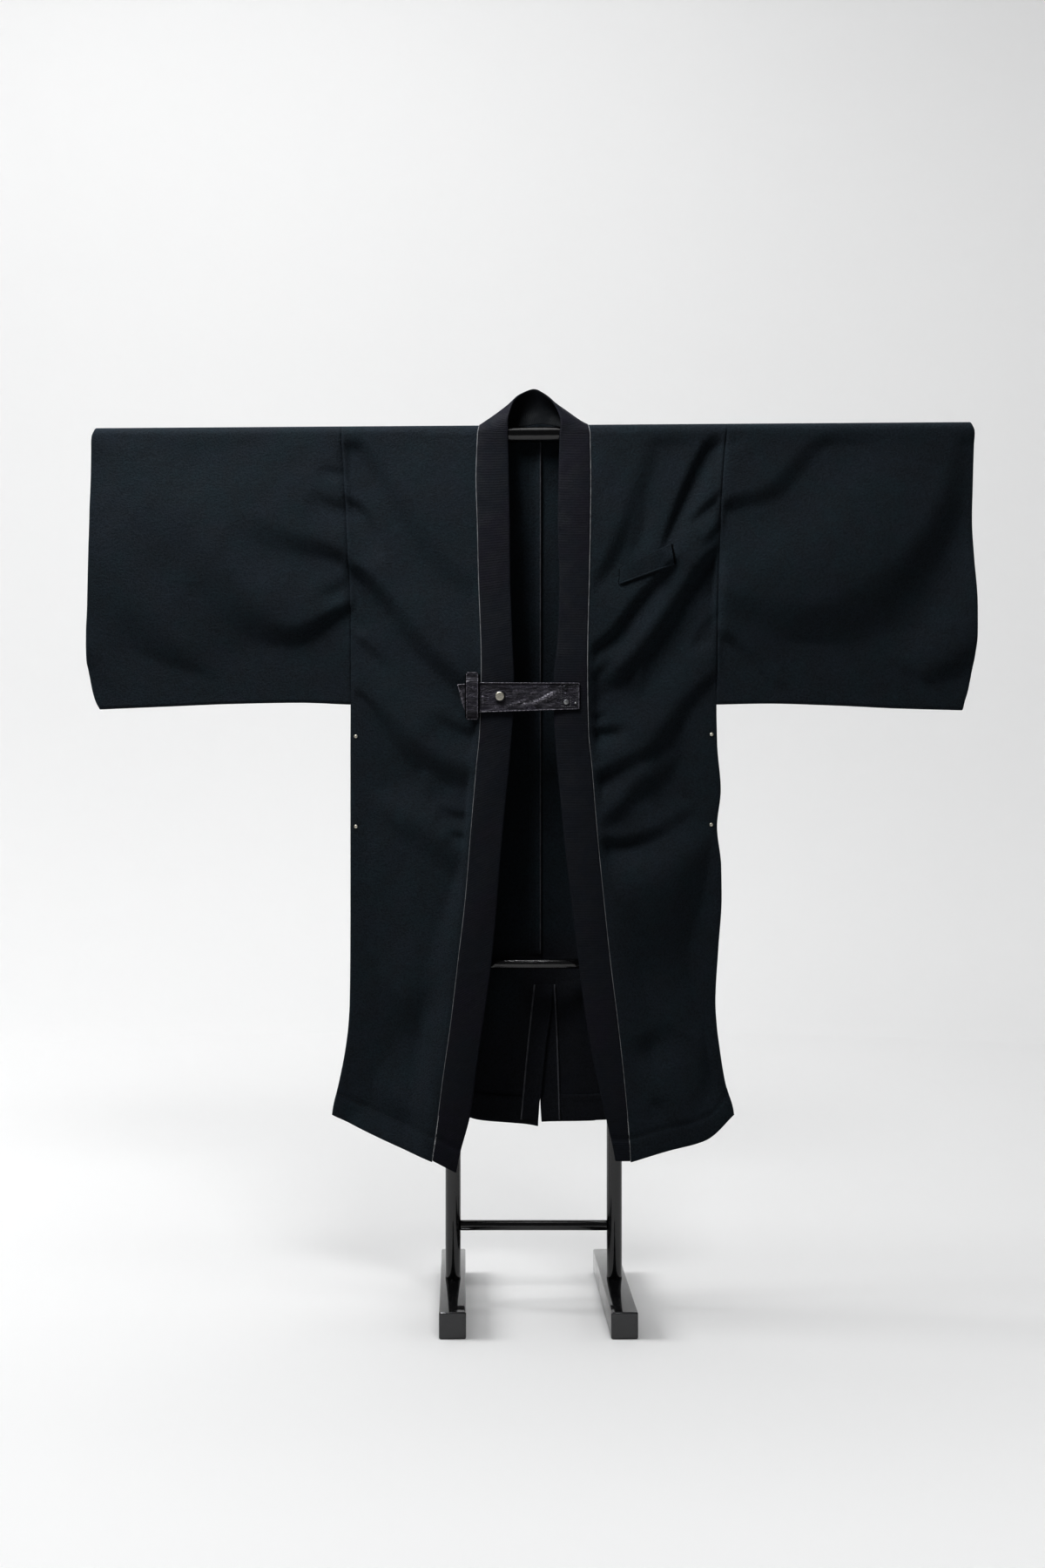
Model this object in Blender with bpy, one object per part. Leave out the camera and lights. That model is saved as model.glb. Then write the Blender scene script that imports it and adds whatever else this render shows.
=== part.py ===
"""A long haori jacket with a strap closing, hung on a lacquered kimono stand.

Metres, +Z up. The wearer's left is at +X and the garment's front at -Y; the origin
is on the floor under the middle of the stand. Every cloth piece is an open grid laid
on the inner face of the cloth, then extruded outwards by the wall's thickness.
"""

import math

import bmesh
import bpy
from mathutils import Matrix, Vector
from mathutils.bvhtree import BVHTree

# The cuffs reach further on the wearer's right, so the whole is shifted to centre its width
SHIFT = 0.0038

# Walls, and the gap left between pieces that touch
CLOTH = 0.002
BAND_WALL = 0.003
FACING_WALL = 0.0015
LEATHER = 0.0024
GAP = 0.0003
SEATED = 0.0006

# The stand
ROD_RADIUS = 0.012
ROD_Z = 1.3695
ROD_LENGTH = 1.350
ROD_TILT = 0.0070
TILT_FROM = 0.900
POST_X = 0.127
POST_RADIUS = 0.012
FOOT = (0.040, 0.440, 0.040)
FOOT_EDGE = 0.0025
FOOT_TURN = math.radians(1.6)
BAR_RADIUS = 0.008
BARS = {"crossbar_low": 0.124, "crossbar_mid": 0.536}

# The cloth turns over the rod in flat steps of 30 degrees that clear its round
ARC = (60, 30, 0, -30, -60)
DRAPE = (ROD_RADIUS + GAP) / math.cos(math.radians(15))
BODY_ROWS = 28
FRONT_COLUMNS = 8
NECK_COLUMNS = 5  # one less than the rows of NECKLINE
SLEEVE_COLUMNS = 9

# Where a panel's strips meet the hem, and how near a wall may come to the stand
HEM_SEAM_X = 0.156
HEM_SIDE_X = 0.317
NEAR_POST = 0.048
POST_DEPTH = DRAPE + 0.0009
LEAST_DEPTH = 0.0016

# Half depth of the body from the middle plane to the cloth's inner face
HALF_DEPTH = (
    # z, side seam or armhole, front edge, centre back
    (0.200, 0.00015, 0.056, 0.044),
    (0.300, 0.00015, 0.054, 0.042),
    (0.550, 0.00015, 0.046, 0.036),
    (0.750, 0.00015, 0.040, 0.031),
    (0.900, 0.00015, 0.035, 0.027),
    (0.944, 0.00015, 0.035, 0.026),
    (0.952, 0.00120, 0.035, 0.026),
    (0.985, 0.00800, 0.035, 0.025),
    (1.010, 0.01150, 0.035, 0.025),
    (1.050, 0.01600, 0.033, 0.024),
    (1.150, 0.01900, 0.028, 0.022),
    (1.270, 0.01600, 0.021, 0.018),
    (1.340, 0.01310, 0.0150, 0.0140),
    (ROD_Z, DRAPE, DRAPE, DRAPE),
)
# Distance of the long edges from the middle plane
SIDE_X = (
    # z, wearer's right, wearer's left
    (0.280, 0.3180, 0.3160),
    (0.300, 0.3170, 0.3150),
    (0.351, 0.3060, 0.3010),
    (0.400, 0.2965, 0.2930),
    (0.440, 0.2915, 0.2880),
    (0.475, 0.2895, 0.2860),
    (0.560, 0.2885, 0.2905),
    (0.640, 0.2883, 0.2957),
    (0.690, 0.2883, 0.2950),
    (0.752, 0.2883, 0.2885),
    (0.810, 0.2883, 0.2943),
    (0.880, 0.2883, 0.2888),
    (0.944, 0.2880, 0.2875),
    (1.020, 0.2880, 0.2890),
    (1.110, 0.2890, 0.2900),
    (1.190, 0.2925, 0.2920),
    (1.278, 0.2970, 0.2955),
    (1.372, 0.3030, 0.3030),
)
SEAM_X = (
    # z, wearer's right, wearer's left
    (0.236, 0.1572, 0.1497),
    (0.271, 0.1521, 0.1475),
    (0.360, 0.1408, 0.1398),
    (0.449, 0.1283, 0.1301),
    (0.548, 0.1167, 0.1180),
    (0.636, 0.1064, 0.1088),
    (0.751, 0.0970, 0.0977),
    (0.846, 0.0889, 0.0902),
    (0.901, 0.0838, 0.0850),
    (1.003, 0.0812, 0.0834),
    (1.146, 0.0857, 0.0864),
    (1.228, 0.0876, 0.0882),
    (1.300, 0.0898, 0.0890),
    (1.372, 0.0874, 0.0880),
)
FREE_X = (
    # z, wearer's right, wearer's left
    (0.216, 0.1205, 0.1290),
    (0.240, 0.1160, 0.1255),
    (0.308, 0.0985, 0.1105),
    (0.390, 0.0875, 0.0925),
    (0.474, 0.0750, 0.0780),
    (0.540, 0.0660, 0.0700),
    (0.689, 0.0530, 0.0520),
    (0.780, 0.0450, 0.0430),
    (0.880, 0.0355, 0.0340),
    (0.930, 0.0320, 0.0315),
    (0.989, 0.0305, 0.0315),
    (1.026, 0.0325, 0.0355),
    (1.080, 0.0345, 0.0390),
    (1.136, 0.0365, 0.0400),
    (1.228, 0.0375, 0.0375),
    (1.283, 0.0385, 0.0385),
    (1.372, 0.0405, 0.0405),
)
CENTRE_BACK_X = (
    # z, edge of the right panel, edge of the left panel, both from the middle plane
    (0.280, 0.0073, 0.0128),
    (0.318, 0.0100, 0.0108),
    (0.400, 0.0180, 0.0187),
    (0.498, 0.0285, 0.0292),
    (0.545, 0.01385, 0.01415),
    (1.360, 0.01285, 0.01315),
)
FRONT_HEM = (
    # x from the middle plane, wearer's right z, wearer's left z
    (0.150, 0.2330, 0.2330),
    (0.214, 0.2565, 0.2515),
    (0.272, 0.2800, 0.2645),
    (0.317, 0.3000, 0.3000),
)
BACK_HEM = (
    # x from the middle plane, wearer's right z, wearer's left z
    (0.000, 0.2755, 0.2825),
    (0.110, 0.2905, 0.2865),
    (0.317, 0.3000, 0.3000),
)
# The back neckline, from the shoulder to the centre back, round the rod's axis
NECKLINE = (
    # x from the middle plane, degrees behind the top of the rod, distance from its axis
    (0.0835, 0, DRAPE),
    (0.0790, 26, 0.0138),
    (0.0680, 46, 0.0168),
    (0.0450, 49, 0.0205),
    (0.0230, 43, 0.0240),
    (0.0130, 40, 0.0250),
)
# Line down the back that the shoulder's columns start from, at the rod and at the hem
PARTING = (0.0880, 0.1000)
# The collar's free edge from one shoulder round the neck to the other
NECK_EDGE = (
    # x, y, z
    (-0.0400, -0.0145, 1.3720),
    (-0.0400, -0.0140, 1.3880),
    (-0.0360, -0.0080, 1.4055),
    (-0.0285, 0.0030, 1.4250),
    (-0.0155, 0.0130, 1.4375),
    (0.0000, 0.0180, 1.4440),
    (0.0145, 0.0140, 1.4360),
    (0.0285, 0.0050, 1.4210),
    (0.0380, -0.0060, 1.4025),
    (0.0420, -0.0135, 1.3865),
    (0.0410, -0.0145, 1.3720),
)
COLLAR_BULGE = 0.009
COLLAR_DROP = {-1: 0.019, 1: 0.000}
COLLAR_SET_BACK = 0.0005
COLLAR_PASSES_ROD = (1.330, -0.0140)  # height from which the free edge stays in front of the rod
COLLAR_STRIPS = 3

# Sleeves
SLEEVE_BOTTOM = (
    # x from the middle plane, wearer's right z, wearer's left z
    (0.288, 0.9440, 0.9440),
    (0.370, 0.9470, 0.9455),
    (0.480, 0.9450, 0.9425),
    (0.580, 0.9410, 0.9380),
    (0.690, 0.9365, 0.9350),
)
CUFF_X = (
    # z, wearer's right, wearer's left
    (0.935, 0.6800, 0.6735),
    (0.950, 0.6880, 0.6770),
    (0.965, 0.6925, 0.6815),
    (0.985, 0.6965, 0.6855),
    (1.005, 0.7000, 0.6890),
    (1.012, 0.7013, 0.6905),
    (1.055, 0.7013, 0.6937),
    (1.098, 0.6995, 0.6937),
    (1.180, 0.6970, 0.6895),
    (1.230, 0.6955, 0.6875),
    (1.300, 0.6940, 0.6890),
    (1.365, 0.6925, 0.6905),
    (1.382, 0.6885, 0.6865),
)
# Heights of a sleeve's rows above its bottom fold: close where it rounds, then even
SLEEVE_RISE = (0.003, 0.014, 0.034) + tuple(0.062 + 0.036 * row for row in range(9)) + (0.388,)
SLEEVE_PUFF = (
    # height above the bottom fold, half depth at the cuff
    (0.000, 0.0005),
    (0.003, 0.0014),
    (0.014, 0.0050),
    (0.040, 0.0110),
    (0.106, 0.0190),
    (0.200, 0.0230),
    (0.320, 0.0185),
    (0.396, 0.0135),
    (0.430, DRAPE),
)
SLEEVE_BELLY = 0.006
ARMHOLE_LOW = 0.9445
CUFF_TUCK = 0.004  # how far the cuff's top edge draws in over the rod

# Folds: troughs along straight or bent lines in x, z, with depth and half width
FOLDS = {
    "front_right": (
        (((-0.286, 1.158), (-0.194, 1.055), (-0.115, 0.985)), 0.0120, 0.020),
        (((-0.292, 1.265), (-0.244, 1.205)), 0.0060, 0.013),
        (((-0.272, 1.350), (-0.182, 1.232), (-0.106, 1.166)), 0.0060, 0.022),
        (((-0.283, 1.080), (-0.247, 1.010)), 0.0060, 0.014),
        (((-0.278, 0.953), (-0.210, 0.895), (-0.150, 0.846)), 0.0110, 0.022),
        (((-0.278, 0.905), (-0.200, 0.815), (-0.110, 0.735)), 0.0120, 0.026),
        (((-0.218, 0.722), (-0.156, 0.520), (-0.175, 0.390)), 0.0120, 0.036),
        (((-0.262, 0.470), (-0.240, 0.360)), 0.0070, 0.024),
    ),
    "front_left": (
        (((0.284, 1.345), (0.240, 1.273), (0.203, 1.199)), 0.0070, 0.014),
        (((0.294, 1.273), (0.266, 1.240)), 0.0060, 0.012),
        (((0.289, 1.188), (0.195, 1.055), (0.100, 0.992)), 0.0130, 0.022),
        (((0.286, 1.092), (0.256, 1.059)), 0.0060, 0.013),
        (((0.199, 1.141), (0.150, 1.092), (0.098, 1.035)), 0.0070, 0.015),
        (((0.150, 1.215), (0.108, 1.154)), 0.0040, 0.015),
        (((0.280, 0.969), (0.232, 0.916), (0.174, 0.871)), 0.0120, 0.022),
        (((0.145, 0.815), (0.215, 0.842), (0.274, 0.858)), 0.0110, 0.020),
        (((0.110, 0.741), (0.196, 0.705), (0.276, 0.690)), 0.0100, 0.018),
        (((0.268, 0.560), (0.235, 0.420), (0.262, 0.340)), 0.0110, 0.030),
        (((0.175, 0.500), (0.190, 0.380)), 0.0080, 0.032),
    ),
    "sleeve_right": (
        (((-0.376, 1.215), (-0.296, 1.174)), 0.0060, 0.020),
        (((-0.440, 1.075), (-0.370, 1.045), (-0.292, 1.090)), 0.0090, 0.018),
        (((-0.357, 0.985), (-0.292, 1.012)), 0.0060, 0.016),
        (((-0.640, 1.150), (-0.610, 1.030), (-0.530, 0.975)), 0.0080, 0.030),
        (((-0.520, 0.972), (-0.350, 0.975)), 0.0050, 0.016),
    ),
    "sleeve_left": (
        (((0.302, 1.254), (0.391, 1.290), (0.460, 1.345)), 0.0060, 0.020),
        (((0.298, 1.080), (0.393, 1.035), (0.473, 0.985)), 0.0070, 0.024),
        (((0.659, 1.277), (0.560, 1.130), (0.434, 1.035)), 0.0110, 0.038),
        (((0.400, 1.085), (0.529, 1.010), (0.597, 0.972)), 0.0070, 0.026),
        (((0.672, 1.110), (0.660, 1.020), (0.625, 0.970)), 0.0060, 0.022),
    ),
    "back_right": (
        (((-0.278, 1.210), (-0.190, 1.080), (-0.080, 0.990)), 0.0090, 0.024),
        (((-0.276, 1.080), (-0.215, 0.930), (-0.120, 0.840)), 0.0100, 0.024),
        (((-0.150, 1.300), (-0.110, 1.160)), 0.0040, 0.022),
        (((-0.225, 0.760), (-0.190, 0.560), (-0.215, 0.340)), 0.0120, 0.034),
        (((-0.095, 0.700), (-0.075, 0.520), (-0.100, 0.330)), 0.0090, 0.034),
    ),
    "back_left": (
        (((0.280, 1.240), (0.205, 1.120), (0.110, 1.040)), 0.0090, 0.022),
        (((0.276, 1.110), (0.220, 0.970), (0.110, 0.880)), 0.0100, 0.026),
        (((0.274, 0.900), (0.205, 0.800), (0.120, 0.750)), 0.0090, 0.024),
        (((0.160, 1.280), (0.130, 1.170)), 0.0040, 0.022),
        (((0.235, 0.680), (0.205, 0.500), (0.225, 0.330)), 0.0120, 0.032),
        (((0.105, 0.640), (0.120, 0.470), (0.105, 0.330)), 0.0090, 0.036),
    ),
    "sleeve_back_right": (
        (((-0.300, 1.180), (-0.400, 1.080), (-0.470, 0.985)), 0.0080, 0.026),
        (((-0.300, 1.300), (-0.420, 1.250)), 0.0050, 0.020),
        (((-0.640, 1.240), (-0.590, 1.080), (-0.500, 0.980)), 0.0080, 0.032),
    ),
    "sleeve_back_left": (
        (((0.300, 1.150), (0.420, 1.070), (0.520, 0.975)), 0.0090, 0.026),
        (((0.302, 1.270), (0.400, 1.200)), 0.0050, 0.018),
        (((0.650, 1.200), (0.610, 1.060), (0.660, 0.975)), 0.0070, 0.028),
    ),
}
FOLD_FADE = 0.024
SEAM_FADE = 0.010
END_FADE = 0.030

# Trim
PIPING_RADIUS = 0.00125
STRAP = (
    # x, z round the strap from its sewn end's top corner
    (0.071, 0.9765),
    (0.071, 0.9355),
    (-0.084, 0.9305),
    (-0.108, 0.9340),
    (-0.119, 0.9740),
    (-0.084, 0.9770),
)
STRAP_LIFT = 0.0020
STRAP_BEARS = ((0.068, 0.036), (-0.079, -0.034))  # x across the left band, then the right one
STRAP_HEIGHTS = (0.932, 0.955, 0.980)
KEEPER_X = (-0.1054, -0.0865)
KEEPER_Z = (0.919, 0.9265, 0.9815, 0.9935)  # tab, step, step, tab
KEEPER_SLOPE = 0.003
KEEPER_WALL = 0.0018
SNAP = (-0.053, 0.9556)
SNAP_RADIUS = 0.0083
SNAP_HEIGHT = 0.0035
SNAP_PROFILE = (
    # share of the radius, share of the height
    (0.30, 1.00),
    (0.62, 0.90),
    (0.85, 0.68),
    (0.97, 0.38),
    (1.00, 0.10),
    (1.00, 0.00),
    (0.30, 0.00),
)
STRAP_RIVETS = {"strap_rivet_upper": (0.0493, 0.9690), "strap_rivet_lower": (0.0504, 0.9465)}
STRAP_RIVET_RADIUS = 0.004
SIDE_RIVETS = {
    "side_rivet_right_upper": (-0.2800, 0.894),
    "side_rivet_right_lower": (-0.2800, 0.752),
    "side_rivet_left_upper": (0.2800, 0.897),
    "side_rivet_left_lower": (0.2795, 0.755),
}
SIDE_RIVET_RADIUS = 0.0029
RIVET_HEIGHT = 0.0014
WELT_CORNERS = ((0.134, 1.131), (0.220, 1.162), (0.215, 1.194), (0.135, 1.156))
WELT_GRID = (16, 6)
WELT_WALL = 0.0016
FACING_Z = (0.2845, 0.500)
FACING_GRID = (2, 6)
FACING_SLIT = 0.0012  # from the vent's edge
FACING_EDGE_X = (
    # z, bound edge of the right facing, bound edge of the left facing
    (0.280, -0.0200, 0.0415),
    (0.400, -0.0090, 0.0380),
    (0.500, 0.0015, 0.0335),
)

COLOURS = {
    # linear colour, roughness, metallic
    "cloth": ((0.0070, 0.0090, 0.0120), 0.85, 0.0),
    "band": ((0.0090, 0.0085, 0.0115), 0.70, 0.0),
    "piping": ((0.300, 0.290, 0.280), 0.55, 0.0),
    "leather": ((0.0100, 0.0100, 0.0120), 0.38, 0.0),
    "snap": ((0.720, 0.690, 0.600), 0.25, 1.0),
    "dark_metal": ((0.050, 0.050, 0.055), 0.35, 1.0),
    "lacquer": ((0.0040, 0.0040, 0.0045), 0.12, 0.0),
}


def read(table, key, column):
    """Value of one column of a table at a key, on straight lines between its rows."""
    if key <= table[0][0]:
        return table[0][column]
    for low, high in zip(table, table[1:]):
        if key <= high[0]:
            share = (key - low[0]) / (high[0] - low[0])
            return low[column] + share * (high[column] - low[column])
    return table[-1][column]


def column_of(side):
    """Column of the two-sided tables: 1 for the wearer's right (-X), 2 for the left."""
    return 1 if side < 0 else 2


def mix(a, b, share):
    return a + (b - a) * share


def smooth(share):
    share = min(1.0, max(0.0, share))
    return share * share * (3 - 2 * share)


def hand(side):
    return "right" if side < 0 else "left"


def fold_depth(panel, x, z):
    """Depth of a panel's troughs at x, z: each has a low ridge along both sides."""
    total = 0.0
    for line, depth, width in FOLDS[panel]:
        here = Vector((x, z))
        near = min(distance_to(here, Vector(a), Vector(b)) for a, b in zip(line, line[1:]))
        reach = near / width
        total += depth * (1 - 0.9 * reach * reach) * math.exp(-reach * reach)
    return total


def distance_to(point, start, end):
    along = end - start
    share = min(1.0, max(0.0, (point - start).dot(along) / along.length_squared))
    return (point - start - along * share).length


def clear_of_posts(x, depth):
    """Keeps a hanging wall in front of, or behind, the posts and the middle plane."""
    near_post = abs(abs(x) - POST_X) < NEAR_POST
    return max(depth, POST_DEPTH if near_post else LEAST_DEPTH)


def hanging(panel, x, z, base, edge_distance):
    """Half depth of a wall: its plain shape less its folds, which fade at its edges."""
    fade = smooth(edge_distance / FOLD_FADE) * smooth((ROD_Z - z) / END_FADE)
    folded = clear_of_posts(x, base - fade * fold_depth(panel, x, z))
    return mix(base, folded, smooth(edge_distance / SEAM_FADE))


def front_depth(side, x, z):
    inner = read(SEAM_X, z, column_of(side))
    outer = read(SIDE_X, z, column_of(side))
    share = min(1.0, max(0.0, (abs(x) - inner) / (outer - inner)))
    swell = 1 - share**2.2
    base = mix(read(HALF_DEPTH, z, 1), read(HALF_DEPTH, z, 2), swell)
    edge = (outer - inner) * min(share, 1 - share)
    return hanging("front_" + hand(side), x, z, base, edge)


def back_depth(side, x, z):
    inner = side * read(CENTRE_BACK_X, z, column_of(side))
    outer = read(SIDE_X, z, column_of(side))
    share = min(1.0, max(0.0, (side * x - inner) / (outer - inner)))
    base = mix(read(HALF_DEPTH, z, 1), read(HALF_DEPTH, z, 3), 1 - share**2.6)
    edge = (outer - inner) * min(share, 1 - share)
    return hanging("back_" + hand(side), x, z, base, edge)


def round_rod(x, degrees, radius=DRAPE):
    """A point round the rod's axis; positive degrees are on the front, 0 is the top."""
    turn = math.radians(degrees)
    return Vector((x, -radius * math.sin(turn), ROD_Z + radius * math.cos(turn)))


def back_z(side, x, row):
    """Height of a back panel's row: both sides share their rows down to the vent."""
    low = mix(read(BACK_HEM, x, 1), read(BACK_HEM, x, 2), 0.5)
    share = row / BODY_ROWS
    return mix(ROD_Z, low, share) + (read(BACK_HEM, x, column_of(side)) - low) * smooth(share * 5 - 4)


def body_column(side, share):
    """Inner face of one strip of a body panel from front hem over the rod to back hem.

    A share of 0 is the collar seam and 1 the side seam.
    """
    column = column_of(side)
    points = []
    low = read(FRONT_HEM, mix(HEM_SEAM_X, HEM_SIDE_X, share), column)
    for row in range(BODY_ROWS + 1):
        z = mix(low, ROD_Z, row / BODY_ROWS)
        x = side * mix(read(SEAM_X, z, column), read(SIDE_X, z, column), share)
        points.append(Vector((x, -front_depth(side, x, z), z)))
    ends = points[-1].x, side * mix(NECKLINE[0][0], read(SIDE_X, ROD_Z, column), share)
    for degrees in ARC:
        x = mix(*ends, min(1.0, 1 - degrees / 90))
        points.append(round_rod(x, degrees))
    for row in range(BODY_ROWS + 1):
        z = back_z(side, mix(PARTING[1], HEM_SIDE_X, share), row)
        parting = mix(*PARTING, row / BODY_ROWS)
        x = side * mix(parting, read(SIDE_X, z, column), share)
        points.append(Vector((x, back_depth(side, x, z), z)))
    return points


def neck_column(side, share):
    """Inner face of a strip between the neckline and the back hem.

    A share of 0 is next to the shoulder and 1 is the centre back seam.
    """
    column = column_of(side)
    centre = read(CENTRE_BACK_X, ROD_Z, column)
    x, degrees, radius = NECKLINE[round(share * NECK_COLUMNS)]
    reach = (x - NECKLINE[-1][0]) / (NECKLINE[0][0] - NECKLINE[-1][0])
    start_x = mix(centre, side * NECKLINE[0][0], reach)
    points = []
    for step in range(ARC.index(0), len(ARC)):
        done = (step - ARC.index(0)) / (len(ARC) - ARC.index(0))
        points.append(round_rod(start_x, -mix(degrees, 90, done), mix(radius, DRAPE, done)))
    for row in range(BODY_ROWS + 1):
        z = back_z(side, mix(PARTING[1], 0.0, share), row)
        parting = side * mix(*PARTING, row / BODY_ROWS)
        x = mix(read(CENTRE_BACK_X, z, column), parting, reach)
        points.append(Vector((x, back_depth(side, x, z), z)))
    return points


def wall_directions(points):
    """Outward directions along a strip, square to it and with no part along X."""
    found = []
    for index in range(len(points)):
        run = points[min(index + 1, len(points) - 1)] - points[max(index - 1, 0)]
        found.append(Vector((0, -run.z, run.y)).normalized())
    return found


def tilt(x, z):
    """Rise of the cloth that follows the rod, whose left end is the higher one."""
    return ROD_TILT * x * smooth((z - TILT_FROM) / (ROD_Z - TILT_FROM))


def collection(name):
    made = bpy.data.collections.new(name)
    bpy.context.scene.collection.children.link(made)
    return made


def material(name):
    colour, roughness, metallic = COLOURS[name]
    found = bpy.data.materials.get(name)
    if found is None:
        found = bpy.data.materials.new(name)
        found.use_nodes = True
        shader = found.node_tree.nodes["Principled BSDF"]
        shader.inputs["Base Color"].default_value = (*colour, 1.0)
        shader.inputs["Roughness"].default_value = roughness
        shader.inputs["Metallic"].default_value = metallic
    return found


def place(name, mesh, finish, location=(0, 0, 0)):
    mesh.materials.append(material(finish))
    obj = bpy.data.objects.new(name, mesh)
    obj.parent = bpy.data.objects["middle_of_stand"]
    obj.location = location
    bpy.data.collections["haori_jacket"].objects.link(obj)
    return obj


def mesh_from(name, bm):
    mesh = bpy.data.meshes.new(name)
    bm.to_mesh(mesh)
    bm.free()
    return mesh


def thick_sheet(name, columns, walls, thickness, finish, ring=False):
    """A closed wall from columns of inner points and the outward direction at each.

    Short columns start at the top of the grid's last rows. A ring's first and last
    points coincide.
    """
    tall = max(len(column) for column in columns)
    bm = bmesh.new()
    bmesh.ops.create_grid(bm, x_segments=tall - 1, y_segments=len(columns) - 1, size=1)
    bm.verts.ensure_lookup_table()
    outward, unused = {}, set()
    for c, column in enumerate(columns):
        missing = tall - len(column)
        for r in range(tall):
            vert = bm.verts[c * tall + r]
            if r < missing:
                unused.add(vert)
                continue
            vert.co = column[r - missing]
            outward[vert] = walls[c][r - missing]
    spare = [face for face in bm.faces if unused.intersection(face.verts)]
    bmesh.ops.delete(bm, geom=spare, context="FACES")
    bm.verts.ensure_lookup_table()
    if ring:
        kept = {bm.verts[c * tall + tall - 1]: bm.verts[c * tall] for c in range(len(columns))}
        bmesh.ops.weld_verts(bm, targetmap=kept)
    before = {tuple(round(v, 7) for v in vert.co): outward[vert] for vert in bm.verts}
    made = bmesh.ops.extrude_face_region(bm, geom=bm.faces[:])
    for vert in [item for item in made["geom"] if isinstance(item, bmesh.types.BMVert)]:
        vert.co += before[tuple(round(v, 7) for v in vert.co)] * thickness
    bmesh.ops.recalc_face_normals(bm, faces=bm.faces)
    bmesh.ops.triangulate(bm, faces=bm.faces)
    for vert in bm.verts:
        vert.co.z += tilt(vert.co.x, vert.co.z)
    return place(name, mesh_from(name, bm), finish)


def body_panel(side):
    columns = [body_column(side, c / FRONT_COLUMNS) for c in range(FRONT_COLUMNS, -1, -1)]
    columns += [neck_column(side, c / NECK_COLUMNS) for c in range(1, NECK_COLUMNS + 1)]
    walls = [wall_directions(column) for column in columns]
    thick_sheet("body_" + hand(side), columns, walls, CLOTH, "cloth")


def seam_line(side):
    """Collar seam from the front hem to the centre back: points, walls and ways off."""
    points = body_column(side, 0.0)[: BODY_ROWS + 1 + ARC.index(0) + 1]
    walls = wall_directions(body_column(side, 0.0))[: len(points)]
    for c in range(1, NECK_COLUMNS + 1):
        column = neck_column(side, c / NECK_COLUMNS)
        points.append(column[0])
        walls.append(wall_directions(column)[0])
    away = []
    for index, wall in enumerate(walls):
        run = points[min(index + 1, len(points) - 1)] - points[max(index - 1, 0)]
        off = run.cross(wall).normalized() * -side
        away.append(off)
    return points, walls, away


def collar_band():
    """The band lofted between the collar seam and its free edge, round the neck."""
    halves = []
    for side in (-1, 1):
        points, walls, away = seam_line(side)
        halves.append(list(zip(points, walls, away)))
    centre = halves[0][-1][0].copy()
    centre.x = mix(halves[0][-1][0].x, halves[1][-1][0].x, 0.5)
    route = halves[0][:-1] + [(centre, halves[0][-1][1], halves[0][-1][2])] + halves[1][-2::-1]
    front = BODY_ROWS + 1
    neck = len(route) - 2 * front
    columns = [[] for _ in range(COLLAR_STRIPS + 1)]
    walls = [[] for _ in range(COLLAR_STRIPS + 1)]
    for index, (seam, wall, off) in enumerate(route):
        start = seam + off * GAP
        from_end = min(index, len(route) - 1 - index)
        side = -1 if index < len(route) / 2 else 1
        if from_end < front:
            z = seam.z - COLLAR_DROP[side] * (1 - from_end / (front - 1))
            end = Vector((side * read(FREE_X, z, column_of(side)), seam.y + COLLAR_SET_BACK, z))
            if z > COLLAR_PASSES_ROD[0]:
                end.y = min(end.y, COLLAR_PASSES_ROD[1])
            bulge = 0.0
        else:
            around = (index - front + 1) / (neck + 1) * (len(NECK_EDGE) - 1)
            low = min(int(around), len(NECK_EDGE) - 2)
            end = Vector(NECK_EDGE[low]).lerp(Vector(NECK_EDGE[low + 1]), around - low)
            bulge = COLLAR_BULGE * math.sin(math.pi * (index - front + 1) / (neck + 1)) ** 2
        across = end - start
        along = route[min(index + 1, len(route) - 1)][0] - route[max(index - 1, 0)][0]
        face = across.cross(along).normalized()
        if face.dot(wall) < 0:
            face.negate()
        for c in range(COLLAR_STRIPS + 1):
            share = c / COLLAR_STRIPS
            columns[c].append(start + across * share + face * bulge * math.sin(math.pi * share))
            walls[c].append(wall.lerp(face, min(1.0, share * 1.5)).normalized())
    thick_sheet("collar_band", columns, walls, BAND_WALL, "band")


def piping():
    """A thin cord along the collar seam, on the outside of the body cloth."""
    halves = []
    for side in (-1, 1):
        points, walls, away = seam_line(side)
        line = []
        for index, (point, wall, off) in enumerate(zip(points, walls, away)):
            seat = SEATED + GAP if index > BODY_ROWS + 1 else GAP
            line.append(point + wall * (CLOTH + seat + PIPING_RADIUS) - off * PIPING_RADIUS)
        halves.append(line)
    halves[0][-1].x = mix(halves[0][-1].x, halves[1][-1].x, 0.5)
    tube("collar_piping", halves[0] + halves[1][-2::-1], PIPING_RADIUS, "piping", 1)


def tube(name, points, radius, finish, bevel_resolution):
    curve = bpy.data.curves.new(name, "CURVE")
    curve.dimensions = "3D"
    curve.bevel_depth = radius
    curve.bevel_resolution = bevel_resolution
    curve.use_fill_caps = True
    spline = curve.splines.new("POLY")
    spline.points.add(len(points) - 1)
    for target, point in zip(spline.points, points):
        target.co = (point.x, point.y, point.z + tilt(point.x, point.z), 1.0)
    curve.materials.append(material(finish))
    obj = bpy.data.objects.new(name, curve)
    obj.parent = bpy.data.objects["middle_of_stand"]
    bpy.data.collections["haori_jacket"].objects.link(obj)


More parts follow.
